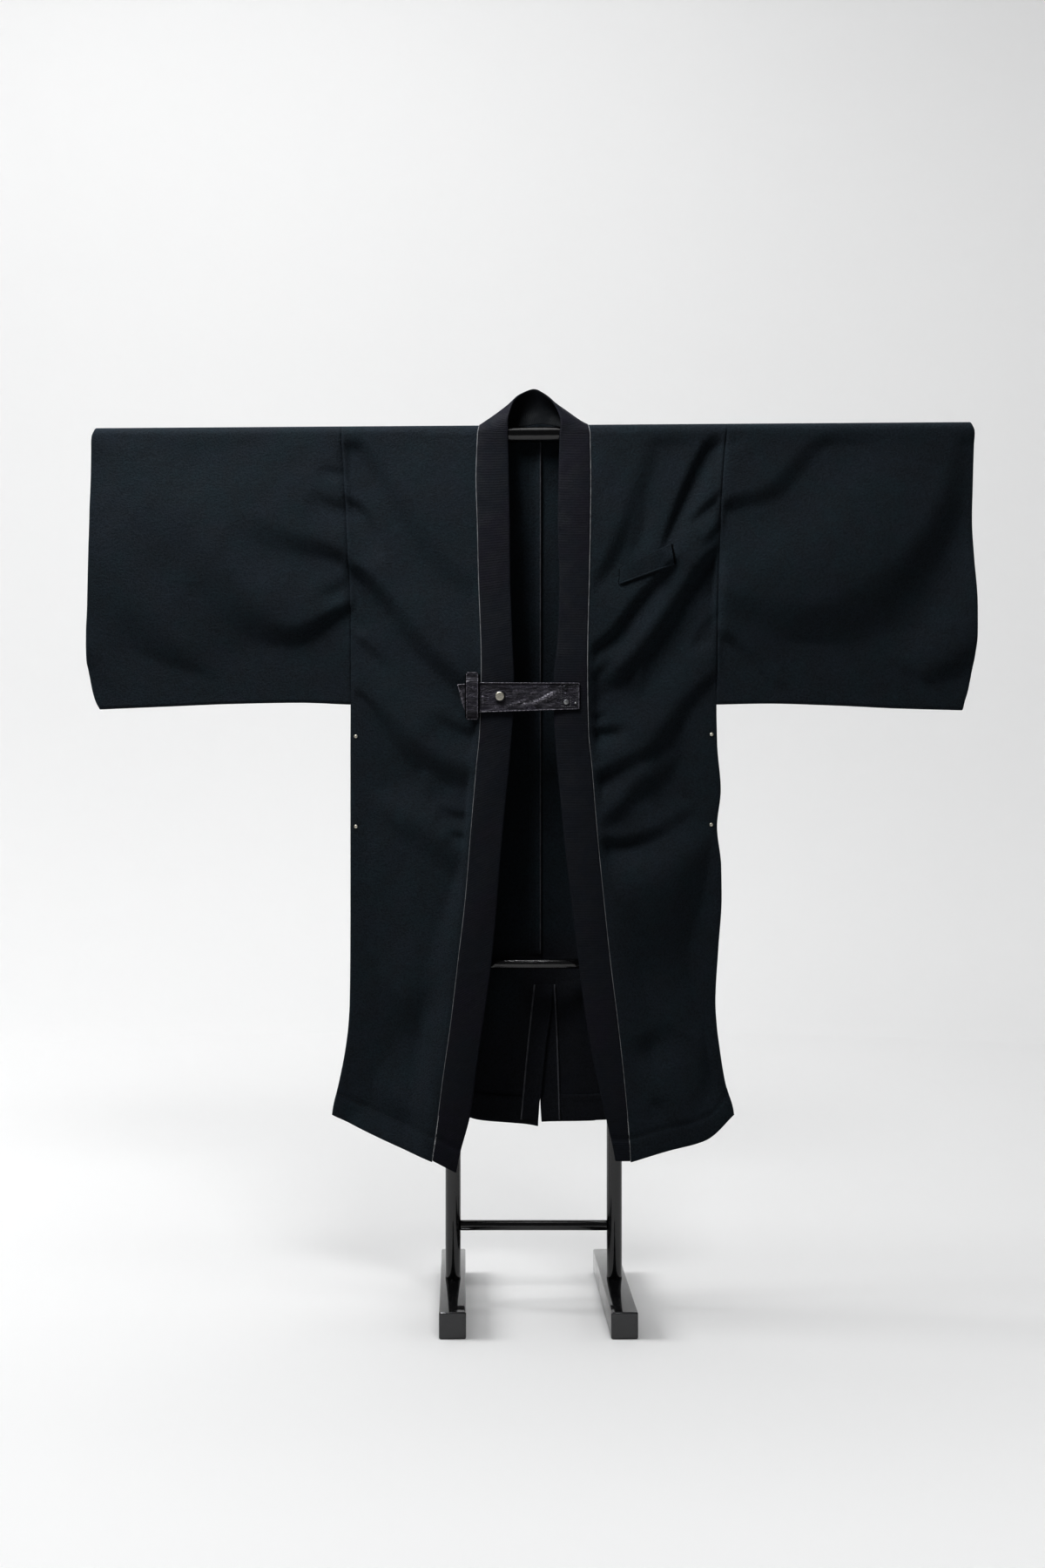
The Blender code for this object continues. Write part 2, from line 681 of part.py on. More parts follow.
def sleeve_point(side, share, rise, face):
    """Inner face of a sleeve at a share from armhole to cuff and a height up its wall."""
    column = column_of(side)
    low = read(SLEEVE_BOTTOM, mix(SLEEVE_BOTTOM[0][0], SLEEVE_BOTTOM[-1][0], share), column) + CLOTH
    z = mix(low, ROD_Z, rise)
    x = side * mix(read(SIDE_X, z, column) + GAP, read(CUFF_X, z, column), share)
    arm = read(HALF_DEPTH, max(z, ARMHOLE_LOW), 1)
    cuff = read(SLEEVE_PUFF, z - low, 1)
    belly = SLEEVE_BELLY * math.sin(math.pi * share) * math.sin(math.pi * rise) ** 2
    base = mix(arm, cuff, smooth(share)) + belly
    edge = (abs(x) - read(SIDE_X, z, column)) if share < 0.5 else 1.0
    panel = ("sleeve_" if face < 0 else "sleeve_back_") + hand(side)
    fade = smooth(edge / FOLD_FADE) * smooth((z - low) / END_FADE) * smooth((ROD_Z - z) / END_FADE)
    depth = max(LEAST_DEPTH, base - fade * fold_depth(panel, x, z))
    return Vector((x, face * depth, z))


def sleeve(side):
    """A tube of cloth over the rod, closed along the bottom, open at both ends."""
    height = ROD_Z - SLEEVE_BOTTOM[0][1]
    rises = [up / height for up in SLEEVE_RISE] + [1.0]
    columns = []
    for c in range(SLEEVE_COLUMNS + 1):
        share = c / SLEEVE_COLUMNS
        bottom = sleeve_point(side, share, 0.0, -1)
        bottom.y = 0.0
        up = [sleeve_point(side, share, rise, -1) for rise in rises]
        down = [sleeve_point(side, share, rise, 1) for rise in reversed(rises)]
        top_x = up[-1].x - side * (CUFF_TUCK if c == SLEEVE_COLUMNS else 0.0)
        over = [round_rod(mix(up[-1].x, top_x, math.cos(math.radians(d))), d) for d in ARC]
        columns.append([bottom] + up + over + down + [bottom.copy()])
    if side > 0:
        columns.reverse()
    walls = []
    for column in columns:
        found = wall_directions(column)
        found[0] = Vector((0, 0, -1))
        found[-1] = Vector((0, 0, -1))
        walls.append(found)
    thick_sheet("sleeve_" + hand(side), columns, walls, CLOTH, "cloth", ring=True)


def cylinder(name, radius, depth, location, finish, axis="Z", segments=24):
    turns = {"X": "Y", "Y": "X"}
    turn = Matrix.Rotation(math.pi / 2, 4, turns[axis]) if axis in turns else Matrix()
    bm = bmesh.new()
    bmesh.ops.create_cone(
        bm, cap_ends=True, segments=segments, radius1=radius, radius2=radius, depth=depth, matrix=turn
    )
    mesh = mesh_from(name, bm)
    mesh.shade_smooth()
    mesh.set_sharp_from_angle(angle=math.radians(40))
    return place(name, mesh, finish, location)


def stand():
    low = FOOT[2] + GAP
    for side in (-1, 1):
        x = side * POST_X
        high = ROD_Z + ROD_TILT * (x - POST_RADIUS) - ROD_RADIUS - GAP
        cylinder("post_" + hand(side), POST_RADIUS, high - low, (x, 0, mix(low, high, 0.5)), "lacquer")
        bm = bmesh.new()
        bmesh.ops.create_cube(bm, size=1, matrix=Matrix.Diagonal((*FOOT, 1)))
        bmesh.ops.bevel(
            bm, geom=bm.edges[:], affect="EDGES", offset=FOOT_EDGE, segments=2, profile=0.5, material=-1
        )
        foot = place("foot_" + hand(side), mesh_from("foot", bm), "lacquer", (x, 0, FOOT[2] / 2))
        foot.rotation_euler.z = FOOT_TURN
    span = 2 * (POST_X - POST_RADIUS - GAP)
    for name, z in BARS.items():
        cylinder(name, BAR_RADIUS, span, (0, 0, z), "lacquer", axis="X", segments=20)
    rod = cylinder("sleeve_rod", ROD_RADIUS, ROD_LENGTH, (0, 0, ROD_Z), "lacquer", axis="X")
    rod.rotation_euler.y = -math.atan(ROD_TILT)


FRONT_OF_ALL = -0.5


class Face:
    """The faces of finished cloth pieces that are met when looking along +Y."""

    def __init__(self, names, start_y):
        self.start_y = start_y
        self.trees = []
        for name in names:
            mesh = bpy.data.objects[name].data
            points = [vert.co.copy() for vert in mesh.vertices]
            self.trees.append(BVHTree.FromPolygons(points, [tuple(p.vertices) for p in mesh.polygons]))

    def at(self, x, z):
        """Point and normal of the first face behind the start at x, z."""
        start = Vector((x, self.start_y, z))
        hits = [tree.ray_cast(start, Vector((0, 1, 0))) for tree in self.trees]
        found = [hit for hit in hits if hit[0] is not None]
        nearest = min(found, key=lambda hit: hit[3])
        return nearest[0], nearest[1]


def laid_on(name, grid, spot, seat, wall, finish):
    """A piece laid on the cloth behind it, from a grid of x, z spots, pushed forward."""
    across, up = grid
    columns = []
    for col in range(across + 1):
        column = []
        for row in range(up + 1):
            x, z = spot(col / across, row / up)
            column.append(Vector((x, seat(x, z) - SEATED, z)))
        columns.append(column)
    walls = [[Vector((0, -1, 0))] * (up + 1)] * (across + 1)
    thick_sheet(name, columns, walls, wall, finish)


def vent_facings():
    """The turned strips on the inside of the back, one on each side of the vent."""
    inside = Face(["body_right", "body_left"], 0.0)
    for side in (-1, 1):
        column = column_of(side)

        def spot(along, rise):
            z = mix(*FACING_Z, rise)
            slit = read(CENTRE_BACK_X, z, column) + side * FACING_SLIT
            return mix(slit, read(FACING_EDGE_X, z, column), along), z

        def seat(x, z):
            return inside.at(x, z)[0].y

        laid_on("vent_facing_" + hand(side), FACING_GRID, spot, seat, FACING_WALL, "cloth")


def chest_welt():
    outside = Face(["body_left"], FRONT_OF_ALL)
    low_in, low_out, high_out, high_in = (Vector(corner) for corner in WELT_CORNERS)

    def spot(along, rise):
        return low_in.lerp(low_out, along).lerp(high_in.lerp(high_out, along), rise)

    def seat(x, z):
        return outside.at(x, z)[0].y

    laid_on("chest_pocket_welt", WELT_GRID, spot, seat, WELT_WALL, "cloth")


def strap_plane():
    """Back face of the strap: y at any x, flat, tipped so it clears the right piping."""
    bands = Face(["collar_band"], FRONT_OF_ALL)
    left_y, right_y = (
        min(bands.at(x, z)[0].y for x in bears for z in STRAP_HEIGHTS) for bears in STRAP_BEARS
    )
    start, end = STRAP_BEARS[0][0], STRAP_BEARS[1][0]
    near, far = left_y - GAP, right_y - GAP - STRAP_LIFT
    return lambda x: mix(near, far, (start - x) / (start - end))


def slab(name, outline, back_y, wall, finish):
    """A flat outline in x, z with its back at back_y(x), pushed forward by the wall."""
    bm = bmesh.new()
    ring = [bm.verts.new((x, back_y(x), z)) for x, z in outline]
    face = bm.faces.new(ring)
    made = bmesh.ops.extrude_face_region(bm, geom=[face])
    moved = [item for item in made["geom"] if isinstance(item, bmesh.types.BMVert)]
    bmesh.ops.translate(bm, verts=moved, vec=(0, -wall, 0))
    bmesh.ops.recalc_face_normals(bm, faces=bm.faces)
    place(name, mesh_from(name, bm), finish)


def closure():
    """Strap with its snap and rivets, and the keeper that the strap's end runs through."""
    back_y = strap_plane()
    slab("closure_strap", STRAP, back_y, LEATHER, "leather")
    for name, (x, z) in STRAP_RIVETS.items():
        y = back_y(x) - LEATHER - SEATED - RIVET_HEIGHT / 2
        cylinder(name, STRAP_RIVET_RADIUS, RIVET_HEIGHT, (x, y, z), "dark_metal", "Y", 16)
    snap_cap(Vector((SNAP[0], back_y(SNAP[0]) - LEATHER - SEATED, SNAP[1])))
    keeper(back_y)


def snap_cap(seat):
    """A shallow domed cap, turned about the axis that points out of the strap."""
    bm = bmesh.new()
    ring = [bm.verts.new((r * SNAP_RADIUS, 0, h * SNAP_HEIGHT)) for r, h in SNAP_PROFILE]
    top = bm.verts.new((0, 0, SNAP_HEIGHT))
    base = bm.verts.new((0, 0, 0))
    line = [top] + ring + [base]
    edges = [bm.edges.new(pair) for pair in zip(line, line[1:])]
    bmesh.ops.spin(
        bm, geom=line + edges, cent=(0, 0, 0), axis=(0, 0, 1), angle=math.tau, steps=20, use_merge=True
    )
    bmesh.ops.remove_doubles(bm, verts=bm.verts, dist=1e-6)
    bmesh.ops.recalc_face_normals(bm, faces=bm.faces)
    bmesh.ops.rotate(bm, verts=bm.verts, cent=(0, 0, 0), matrix=Matrix.Rotation(math.pi / 2, 3, "X"))
    mesh = mesh_from("snap_cap", bm)
    mesh.shade_smooth()
    place("snap_cap", mesh, "snap", seat)


def keeper(back_y):
    """A loop of leather sewn to the right front above and below the strap."""
    panel = Face(["body_right", "collar_band"], FRONT_OF_ALL)
    low, step_low, step_high, high = KEEPER_Z
    seat = min(panel.at(x, z)[0].y for x in KEEPER_X for z in KEEPER_Z) - SEATED
    bridge = back_y(KEEPER_X[0]) - LEATHER - SEATED
    path = (
        (low, seat),
        (step_low, seat),
        (step_low + KEEPER_SLOPE, bridge),
        (step_high - KEEPER_SLOPE, bridge),
        (step_high, seat),
        (high, seat),
    )
    columns = []
    for x in KEEPER_X:
        columns.append([Vector((x, y, z)) for z, y in path])
    walls = [wall_directions(column) for column in columns]
    thick_sheet("strap_keeper", columns, walls, KEEPER_WALL, "leather")


def side_rivets():
    for name, (x, z) in SIDE_RIVETS.items():
        point, normal = Face(["body_" + hand(x)], FRONT_OF_ALL).at(x, z)
        if normal.y > 0:
            normal = -normal
        rivet = cylinder(name, SIDE_RIVET_RADIUS, RIVET_HEIGHT, (0, 0, 0), "snap", "Z", 12)
        rivet.rotation_mode = "QUATERNION"
        rivet.rotation_quaternion = normal.to_track_quat("Z", "Y")
        rivet.location = point + normal * (SEATED + RIVET_HEIGHT / 2)


def main():
    for old in list(bpy.data.objects):
        bpy.data.objects.remove(old, do_unlink=True)
    parts = collection("haori_jacket")
    middle = bpy.data.objects.new("middle_of_stand", None)
    middle.location.x = SHIFT
    parts.objects.link(middle)
    stand()
    for side in (-1, 1):
        body_panel(side)
        sleeve(side)
    collar_band()
    piping()
    bpy.context.view_layer.update()
    vent_facings()
    chest_welt()
    closure()
    side_rivets()


main()
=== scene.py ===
"""The haori jacket on its stand, dressed: cloth, trim, lacquer, studio and camera.

Metres, +Z up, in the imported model's frame. Cloth forms are worked out in the frame of
the stand's posts and moved by SHIFT when their meshes are made.
"""

import math

import bmesh
import bpy
import numpy as np
from mathutils import Matrix, Vector


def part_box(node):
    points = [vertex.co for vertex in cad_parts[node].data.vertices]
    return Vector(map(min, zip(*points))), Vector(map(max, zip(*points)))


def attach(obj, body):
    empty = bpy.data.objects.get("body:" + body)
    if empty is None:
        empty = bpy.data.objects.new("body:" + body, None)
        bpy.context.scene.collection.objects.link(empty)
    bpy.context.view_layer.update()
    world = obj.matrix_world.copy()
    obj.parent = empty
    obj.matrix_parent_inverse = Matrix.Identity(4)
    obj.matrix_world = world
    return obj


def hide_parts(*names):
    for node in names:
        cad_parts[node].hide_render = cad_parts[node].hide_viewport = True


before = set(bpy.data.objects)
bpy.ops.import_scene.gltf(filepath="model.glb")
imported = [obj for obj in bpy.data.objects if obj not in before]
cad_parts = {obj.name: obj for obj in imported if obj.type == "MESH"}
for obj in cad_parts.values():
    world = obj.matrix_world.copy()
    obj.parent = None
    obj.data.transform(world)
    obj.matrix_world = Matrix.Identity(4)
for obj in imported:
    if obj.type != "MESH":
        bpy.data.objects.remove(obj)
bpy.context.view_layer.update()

SHIFT = 0.0038
RIGHT, LEFT = -1, 1

# Walls and seats
CLOTH = 0.0020
BAND_WALL = 0.0030
LEATHER = 0.0024
KEEPER_WALL = 0.0018
FACING_WALL = 0.0015
GAP = 0.0003
SEATED = 0.0006

# The stand
ROD_RADIUS = 0.012
ROD_Z = 1.3695
ROD_LENGTH = 1.350
ROD_TILT = 0.0070
TILT_FROM = 0.900
POST_X = 0.127
POST_RADIUS = 0.012
FOOT = (0.040, 0.440, 0.040)
FOOT_TURN = math.radians(1.6)
BAR_RADIUS = 0.008
BARS = {"low": ("crossbar_low", 0.124), "middle": ("crossbar_mid", 0.536)}

# Cloth turns over the rod in flats of up to twice FLAT, this far from the rod's axis
FLAT = math.radians(15)
DRAPE = (ROD_RADIUS + GAP) / math.cos(FLAT)
HEM_SEAM_X = 0.156
HEM_SIDE_X = 0.317
POST_DEPTH = DRAPE + 0.0009
POST_REACH, POST_FADE = 0.062, 0.026
LEAST_DEPTH = 0.0016
ARMHOLE_LOW = 0.9445

HALF_DEPTH = (
    # z, side seam or armhole, front edge, centre back
    (0.200, 0.00015, 0.056, 0.044),
    (0.300, 0.00015, 0.054, 0.042),
    (0.550, 0.00015, 0.046, 0.036),
    (0.750, 0.00015, 0.040, 0.031),
    (0.900, 0.00015, 0.035, 0.027),
    (0.944, 0.00015, 0.035, 0.026),
    (0.952, 0.00120, 0.035, 0.026),
    (0.985, 0.00800, 0.035, 0.025),
    (1.010, 0.01150, 0.035, 0.025),
    (1.050, 0.01600, 0.033, 0.024),
    (1.150, 0.01900, 0.028, 0.022),
    (1.270, 0.01600, 0.021, 0.018),
    (1.340, 0.01310, 0.0150, 0.0140),
    (ROD_Z, DRAPE, DRAPE, DRAPE),
)
SIDE_X = (
    # z, wearer's right, wearer's left
    (0.280, 0.3180, 0.3160),
    (0.300, 0.3170, 0.3150),
    (0.351, 0.3060, 0.3010),
    (0.400, 0.2965, 0.2930),
    (0.440, 0.2915, 0.2880),
    (0.475, 0.2895, 0.2860),
    (0.560, 0.2885, 0.2905),
    (0.640, 0.2883, 0.2957),
    (0.690, 0.2883, 0.2950),
    (0.752, 0.2883, 0.2885),
    (0.810, 0.2883, 0.2943),
    (0.880, 0.2883, 0.2888),
    (0.944, 0.2880, 0.2875),
    (1.020, 0.2880, 0.2890),
    (1.110, 0.2890, 0.2900),
    (1.190, 0.2925, 0.2920),
    (1.278, 0.2970, 0.2955),
    (1.372, 0.3030, 0.3030),
)
SEAM_X = (
    # z, wearer's right, wearer's left
    (0.236, 0.1572, 0.1497),
    (0.271, 0.1521, 0.1475),
    (0.360, 0.1408, 0.1398),
    (0.449, 0.1283, 0.1301),
    (0.548, 0.1167, 0.1180),
    (0.636, 0.1064, 0.1088),
    (0.751, 0.0970, 0.0977),
    (0.846, 0.0889, 0.0902),
    (0.901, 0.0838, 0.0850),
    (1.003, 0.0812, 0.0834),
    (1.146, 0.0857, 0.0864),
    (1.228, 0.0876, 0.0882),
    (1.300, 0.0898, 0.0890),
    (1.372, 0.0874, 0.0880),
)
FREE_X = (
    # z, wearer's right, wearer's left
    (0.216, 0.1205, 0.1290),
    (0.240, 0.1160, 0.1255),
    (0.308, 0.0985, 0.1105),
    (0.390, 0.0875, 0.0925),
    (0.474, 0.0750, 0.0780),
    (0.540, 0.0660, 0.0700),
    (0.689, 0.0530, 0.0520),
    (0.780, 0.0450, 0.0430),
    (0.880, 0.0355, 0.0340),
    (0.930, 0.0320, 0.0315),
    (0.989, 0.0305, 0.0315),
    (1.026, 0.0325, 0.0355),
    (1.080, 0.0345, 0.0390),
    (1.136, 0.0365, 0.0400),
    (1.228, 0.0375, 0.0375),
    (1.283, 0.0385, 0.0385),
    (1.372, 0.0405, 0.0405),
)
CENTRE_BACK_X = (
    # z, edge of the right panel, edge of the left panel
    (0.280, 0.0073, 0.0128),
    (0.318, 0.0100, 0.0108),
    (0.400, 0.0180, 0.0187),
    (0.498, 0.0290, 0.0287),
    (0.545, 0.01420, 0.01380),
    (1.360, 0.01320, 0.01280),
)
FRONT_HEM = (
    # x from the middle plane, wearer's right z, wearer's left z
    (0.150, 0.2330, 0.2330),
    (0.214, 0.2565, 0.2515),
    (0.272, 0.2800, 0.2645),
    (0.317, 0.3000, 0.3000),
)
BACK_HEM = (
    # x from the middle plane, wearer's right z, wearer's left z
    (0.000, 0.2755, 0.2825),
    (0.110, 0.2905, 0.2865),
    (0.317, 0.3000, 0.3000),
)
NECKLINE = (
    # share to the centre back, x from the middle plane, degrees behind the top, from the axis
    (0.0, 0.0835, 0, DRAPE),
    (0.2, 0.0790, 26, 0.0138),
    (0.4, 0.0680, 46, 0.0168),
    (0.6, 0.0450, 49, 0.0205),
    (0.8, 0.0230, 43, 0.0240),
    (1.0, 0.0130, 40, 0.0250),
)
PARTING = (0.0880, 0.1000)
NECK_EDGE = (
    # tenth of the way round, x, y, z
    (0, -0.0400, -0.0145, 1.3720),
    (1, -0.0400, -0.0140, 1.3880),
    (2, -0.0360, -0.0080, 1.4055),
    (3, -0.0285, 0.0030, 1.4250),
    (4, -0.0155, 0.0130, 1.4375),
    (5, 0.0000, 0.0180, 1.4440),
    (6, 0.0145, 0.0140, 1.4360),
    (7, 0.0285, 0.0050, 1.4210),
    (8, 0.0380, -0.0060, 1.4025),
    (9, 0.0420, -0.0135, 1.3865),
    (10, 0.0410, -0.0145, 1.3720),
)
COLLAR_BULGE = 0.009
COLLAR_DROP = {RIGHT: 0.019, LEFT: 0.000}
SLEEVE_BOTTOM = (
    # x from the middle plane, wearer's right z, wearer's left z
    (0.288, 0.9440, 0.9440),
    (0.370, 0.9470, 0.9455),
    (0.480, 0.9450, 0.9425),
    (0.580, 0.9410, 0.9380),
    (0.690, 0.9365, 0.9350),
)
CUFF_X = (
    # z, wearer's right, wearer's left
    (0.935, 0.6800, 0.6735),
    (0.950, 0.6880, 0.6770),
    (0.965, 0.6925, 0.6815),
    (0.985, 0.6965, 0.6855),
    (1.005, 0.7000, 0.6890),
    (1.012, 0.7013, 0.6905),
    (1.055, 0.7013, 0.6937),
    (1.098, 0.6995, 0.6937),
    (1.180, 0.6970, 0.6895),
    (1.230, 0.6955, 0.6875),
    (1.300, 0.6940, 0.6890),
    (1.365, 0.6925, 0.6905),
    (1.382, 0.6885, 0.6865),
)
SLEEVE_PUFF = (
    # height above the bottom fold, half depth at the cuff
    (0.000, 0.0005),
    (0.003, 0.0014),
    (0.014, 0.0050),
    (0.040, 0.0110),
    (0.106, 0.0190),
    (0.200, 0.0230),
    (0.320, 0.0185),
    (0.396, 0.0135),
    (0.430, DRAPE),
)
SLEEVE_BELLY = 0.006
CUFF_TUCK = 0.004

# Folds, each a spread and its stations from the wearer's right to the left, in millimetres.
# A station is x, z, drop and half width: across the line the cloth turns in from its upper
# side by the drop, within the half width, and it comes back over the spread.
FOLDS = {
    "front_right": """
        60: -300 1168 9 9, -265 1146 11 12, -225 1100 12 16, -185 1045 12 18, -150 1008 11 18,
           -105 968 9 17;
        30: -300 1272 4 6, -272 1256 5 7, -252 1228 4 8, -240 1196 3 9, -234 1165 0 9;
        60: -290 1385 0 12, -270 1352 5 13, -235 1300 6 15, -195 1232 6 18, -155 1176 6 20,
           -112 1138 5 20, -80 1120 3 20;
        25: -300 1108 0 7, -284 1092 4 7, -270 1074 3 8, -258 1058 0 8;
        35: -298 1062 3 7, -272 1046 4 8, -248 1024 4 9, -228 1000 2 11, -212 975 0 12;
        70: -300 962 8 12, -270 950 11 15, -240 922 13 20, -205 880 14 26, -165 852 14 28,
           -125 836 12 24, -85 826 9 20;
        24: -300 945 0 6, -272 932 3 6, -255 914 4 7, -240 888 3 8, -226 856 2 9, -218 830 0 9;
        30: -285 930 0 6, -268 905 3 7, -258 870 3 9, -252 830 0 10;
        35: -160 934 0 8, -135 918 4 10, -105 904 6 11, -75 898 5 11;
        200: -265 800 0 20, -225 765 6 22, -180 738 10 24, -140 708 11 28, -95 680 10 30;
        22: -150 786 0 6, -125 774 4 8, -95 770 4 8;
        18: -132 748 0 5, -118 742 4 6, -95 738 4 6;
        90: -285 560 0 14, -255 512 5 18, -225 470 9 34, -190 455 12 48, -158 480 10 40, -125 520 6 30,
           -100 545 0 30;
        30: -300 420 0 16, -272 385 5 20, -248 340 7 24, -215 312 7 20, -180 298 4 14, -160 292 0 12;
        500: -320 590 6 95, -250 575 8 100, -180 570 8 100, -90 575 7 95
    """,
    "front_left": """
        26: 196 1180 0 4, 205 1205 5 5, 222 1250 8 7, 243 1298 9 8, 264 1340 8 8, 290 1382 5 7;
        20: 240 1222 0 4, 256 1240 4 5, 274 1258 5 6, 300 1280 4 6;
        18: 262 1188 0 5, 276 1206 4 6, 300 1236 4 6;
        60: 70 950 6 16, 100 968 9 17, 135 988 13 17, 165 1018 15 17, 200 1062 16 17, 232 1110 15 16,
           260 1152 14 14, 300 1202 10 11;
        34: 70 1018 5 8, 95 1034 7 8, 125 1058 9 9, 155 1098 9 9, 185 1132 7 8, 215 1164 4 7,
           232 1180 0 7;
        22: 70 980 5 7, 92 990 6 8, 108 1004 5 8, 126 1018 0 8;
        50: 85 1118 0 10, 105 1146 5 11, 125 1182 7 13, 145 1228 6 15, 162 1275 6 16, 180 1325 4 16,
           190 1385 3 14;
        16: 150 1170 0 5, 158 1205 3 6, 166 1240 2 7, 172 1270 0 8;
        26: 244 1030 0 6, 258 1050 4 8, 272 1070 5 8, 300 1096 4 8;
        60: 165 848 0 18, 190 875 9 20, 215 903 13 23, 240 932 14 25, 265 958 12 24, 300 990 9 20;
        20: 70 900 4 7, 100 904 6 8, 125 906 5 8, 150 908 0 8;
        12: 75 924 2 4, 100 928 3 4, 118 930 0 4;
        30: 70 826 6 9, 98 832 8 10, 125 845 7 10, 155 860 5 10, 190 876 2 10, 205 882 0 10;
        60: 95 748 0 12, 118 766 7 12, 140 786 9 14, 165 812 12 19, 200 834 13 23, 240 850 12 24,
           275 866 8 20, 300 876 4 16;
        34: 75 730 6 10, 105 731 8 10, 140 730 8 10, 175 738 7 11, 210 754 5 12, 245 776 3 12,
           270 792 0 12;
        120: 95 600 10 70, 150 590 14 80, 200 600 15 80, 240 650 12 55, 270 700 8 34, 300 735 5 24;
        40: 118 440 0 12, 140 420 6 14, 165 416 7 16, 190 430 5 18, 205 450 0 18;
        30: 240 300 0 14, 256 335 5 16, 268 385 7 16, 276 440 6 14, 284 500 3 12, 288 540 0 12;
        20: 170 322 0 10, 188 326 3 11, 206 332 0 10
    """,
    "sleeve_right": """
        60: -480 1238 0 24, -430 1218 4 24, -390 1202 6 22, -350 1194 8 19, -315 1184 8 14,
           -285 1172 7 10;
        25: -350 1282 0 8, -325 1268 3 9, -300 1258 4 9, -280 1252 4 9;
        14: -335 1322 0 5, -318 1317 2 6, -285 1310 2 6;
        80: -590 1270 0 40, -545 1205 5 42, -500 1142 7 38, -455 1088 9 34, -415 1058 11 28,
           -375 1052 11 22, -340 1068 11 16, -310 1088 10 12, -285 1100 8 10;
        20: -345 1118 0 8, -322 1126 3 10, -300 1138 3 10, -284 1146 3 10;
        24: -335 985 0 8, -318 1000 5 10, -300 1015 6 9, -284 1026 5 8;
        30: -380 950 0 14, -345 966 5 18, -315 980 7 18, -285 990 6 16;
        60: -672 1260 0 24, -662 1185 5 28, -648 1115 8 34, -615 1058 11 40, -575 1015 12 38,
           -535 988 11 28, -495 970 8 18, -455 962 5 12, -430 958 0 10;
        16: -700 1035 0 12, -690 1005 4 14, -678 975 5 14, -655 958 4 10, -630 950 0 8;
        30: -690 1385 0 12, -676 1330 3 16, -668 1260 3 18, -664 1200 0 20
    """,
    "sleeve_left": """
        70: 290 1252 8 11, 320 1262 8 13, 355 1268 7 15, 385 1284 7 17, 410 1312 7 18, 440 1345 6 18,
           475 1382 4 16;
        10: 306 1340 0 4, 310 1358 2 5, 318 1385 2 5;
        60: 300 1110 3 22, 345 1092 6 26, 400 1074 9 36, 450 1070 12 42, 505 1082 14 48, 560 1118 15 46,
           605 1165 15 38, 640 1222 12 30, 662 1290 8 24, 676 1360 4 20;
        40: 395 1040 0 16, 430 1036 6 20, 470 1026 8 22, 515 1014 9 22, 555 1004 8 22, 590 996 6 20,
           610 1000 0 18;
        40: 285 1058 6 10, 312 1044 8 12, 338 1018 7 13, 362 988 6 13, 385 966 4 12, 405 950 0 12;
        30: 545 950 0 16, 580 968 6 20, 620 980 8 24, 655 998 8 22, 690 1030 5 18, 705 1050 0 16
    """,
    "back_right": """
        60: -300 1222 6 10, -250 1170 9 14, -190 1085 11 18, -130 1025 9 20, -60 980 4 20, -20 965 0 18;
        70: -300 1095 5 9, -255 1035 8 14, -215 940 11 20, -165 875 11 24, -110 838 7 24, -50 815 0 20;
        40: -160 1310 0 12, -145 1270 4 14, -125 1210 5 16, -108 1150 0 16;
        120: -290 640 4 30, -230 590 10 50, -160 560 12 60, -90 580 9 50, -30 620 3 40;
        50: -190 335 0 24, -200 420 6 28, -215 520 8 30, -235 640 6 26, -240 740 0 24;
        50: -85 335 0 24, -88 430 6 26, -80 540 7 28, -92 660 0 26;
        25: -300 1300 4 7, -262 1262 4 8, -238 1228 0 8;
        24: -300 1022 3 6, -262 990 3 8, -240 962 0 8
    """,
    "back_left": """
        60: 60 1010 0 18, 110 1040 6 18, 165 1080 10 18, 210 1130 11 16, 250 1190 9 13, 300 1258 6 9;
        70: 40 845 0 20, 110 880 8 24, 165 910 11 24, 220 968 11 20, 262 1055 8 14, 300 1130 5 10;
        60: 60 735 0 20, 120 752 7 22, 170 775 9 22, 210 805 9 20, 250 860 6 16, 300 915 3 12;
        40: 128 1160 0 12, 140 1210 4 14, 155 1260 4 14, 165 1300 0 12;
        120: 20 560 3 40, 90 530 9 55, 160 520 12 60, 230 560 10 50, 290 620 4 30;
        50: 225 325 0 22, 212 420 7 26, 206 510 8 28, 220 600 6 26, 240 690 0 24;
        50: 100 325 0 24, 112 410 6 28, 118 500 7 30, 108 640 0 28;
        25: 228 1252 0 8, 255 1290 4 9, 300 1348 4 8;
        24: 246 990 0 7, 262 1008 3 8, 300 1050 3 8
    """,
    "sleeve_back_right": """
        70: -480 975 0 24, -440 1030 7 26, -395 1088 9 26, -345 1140 8 20, -285 1190 6 14;
        50: -440 1245 0 18, -400 1262 4 18, -350 1286 5 16, -285 1312 4 12;
        60: -645 1250 0 30, -628 1170 7 36, -600 1095 9 38, -560 1030 8 34, -505 975 0 26
    """,
    "sleeve_back_left": """
        70: 285 1165 6 12, 345 1125 8 18, 400 1082 9 24, 460 1030 8 26, 520 975 0 24;
        50: 285 1282 4 10, 330 1258 5 14, 370 1228 5 16, 405 1195 0 16;
        50: 600 975 0 24, 612 1060 7 30, 632 1130 8 32, 652 1200 6 28, 668 1290 0 24
    """,
}
MILLIMETRE = 0.001
FOLD_STEPS = 5
FOLD_DEPTH = {
    "front_right": 1.75,
    "front_left": 1.5,
    "sleeve_right": 1.55,
    "sleeve_left": 1.4,
}
BACK_FOLD_DEPTH = 1.5
FOLD_FADE = 0.006
SEAM_FADE = 0.004
COLLAR_FADE, LOW_COLLAR_FADE = 0.014, 0.055
END_FADE = 0.012
TOP_FADE = 0.024
SEAM_DITCH = 0.0030
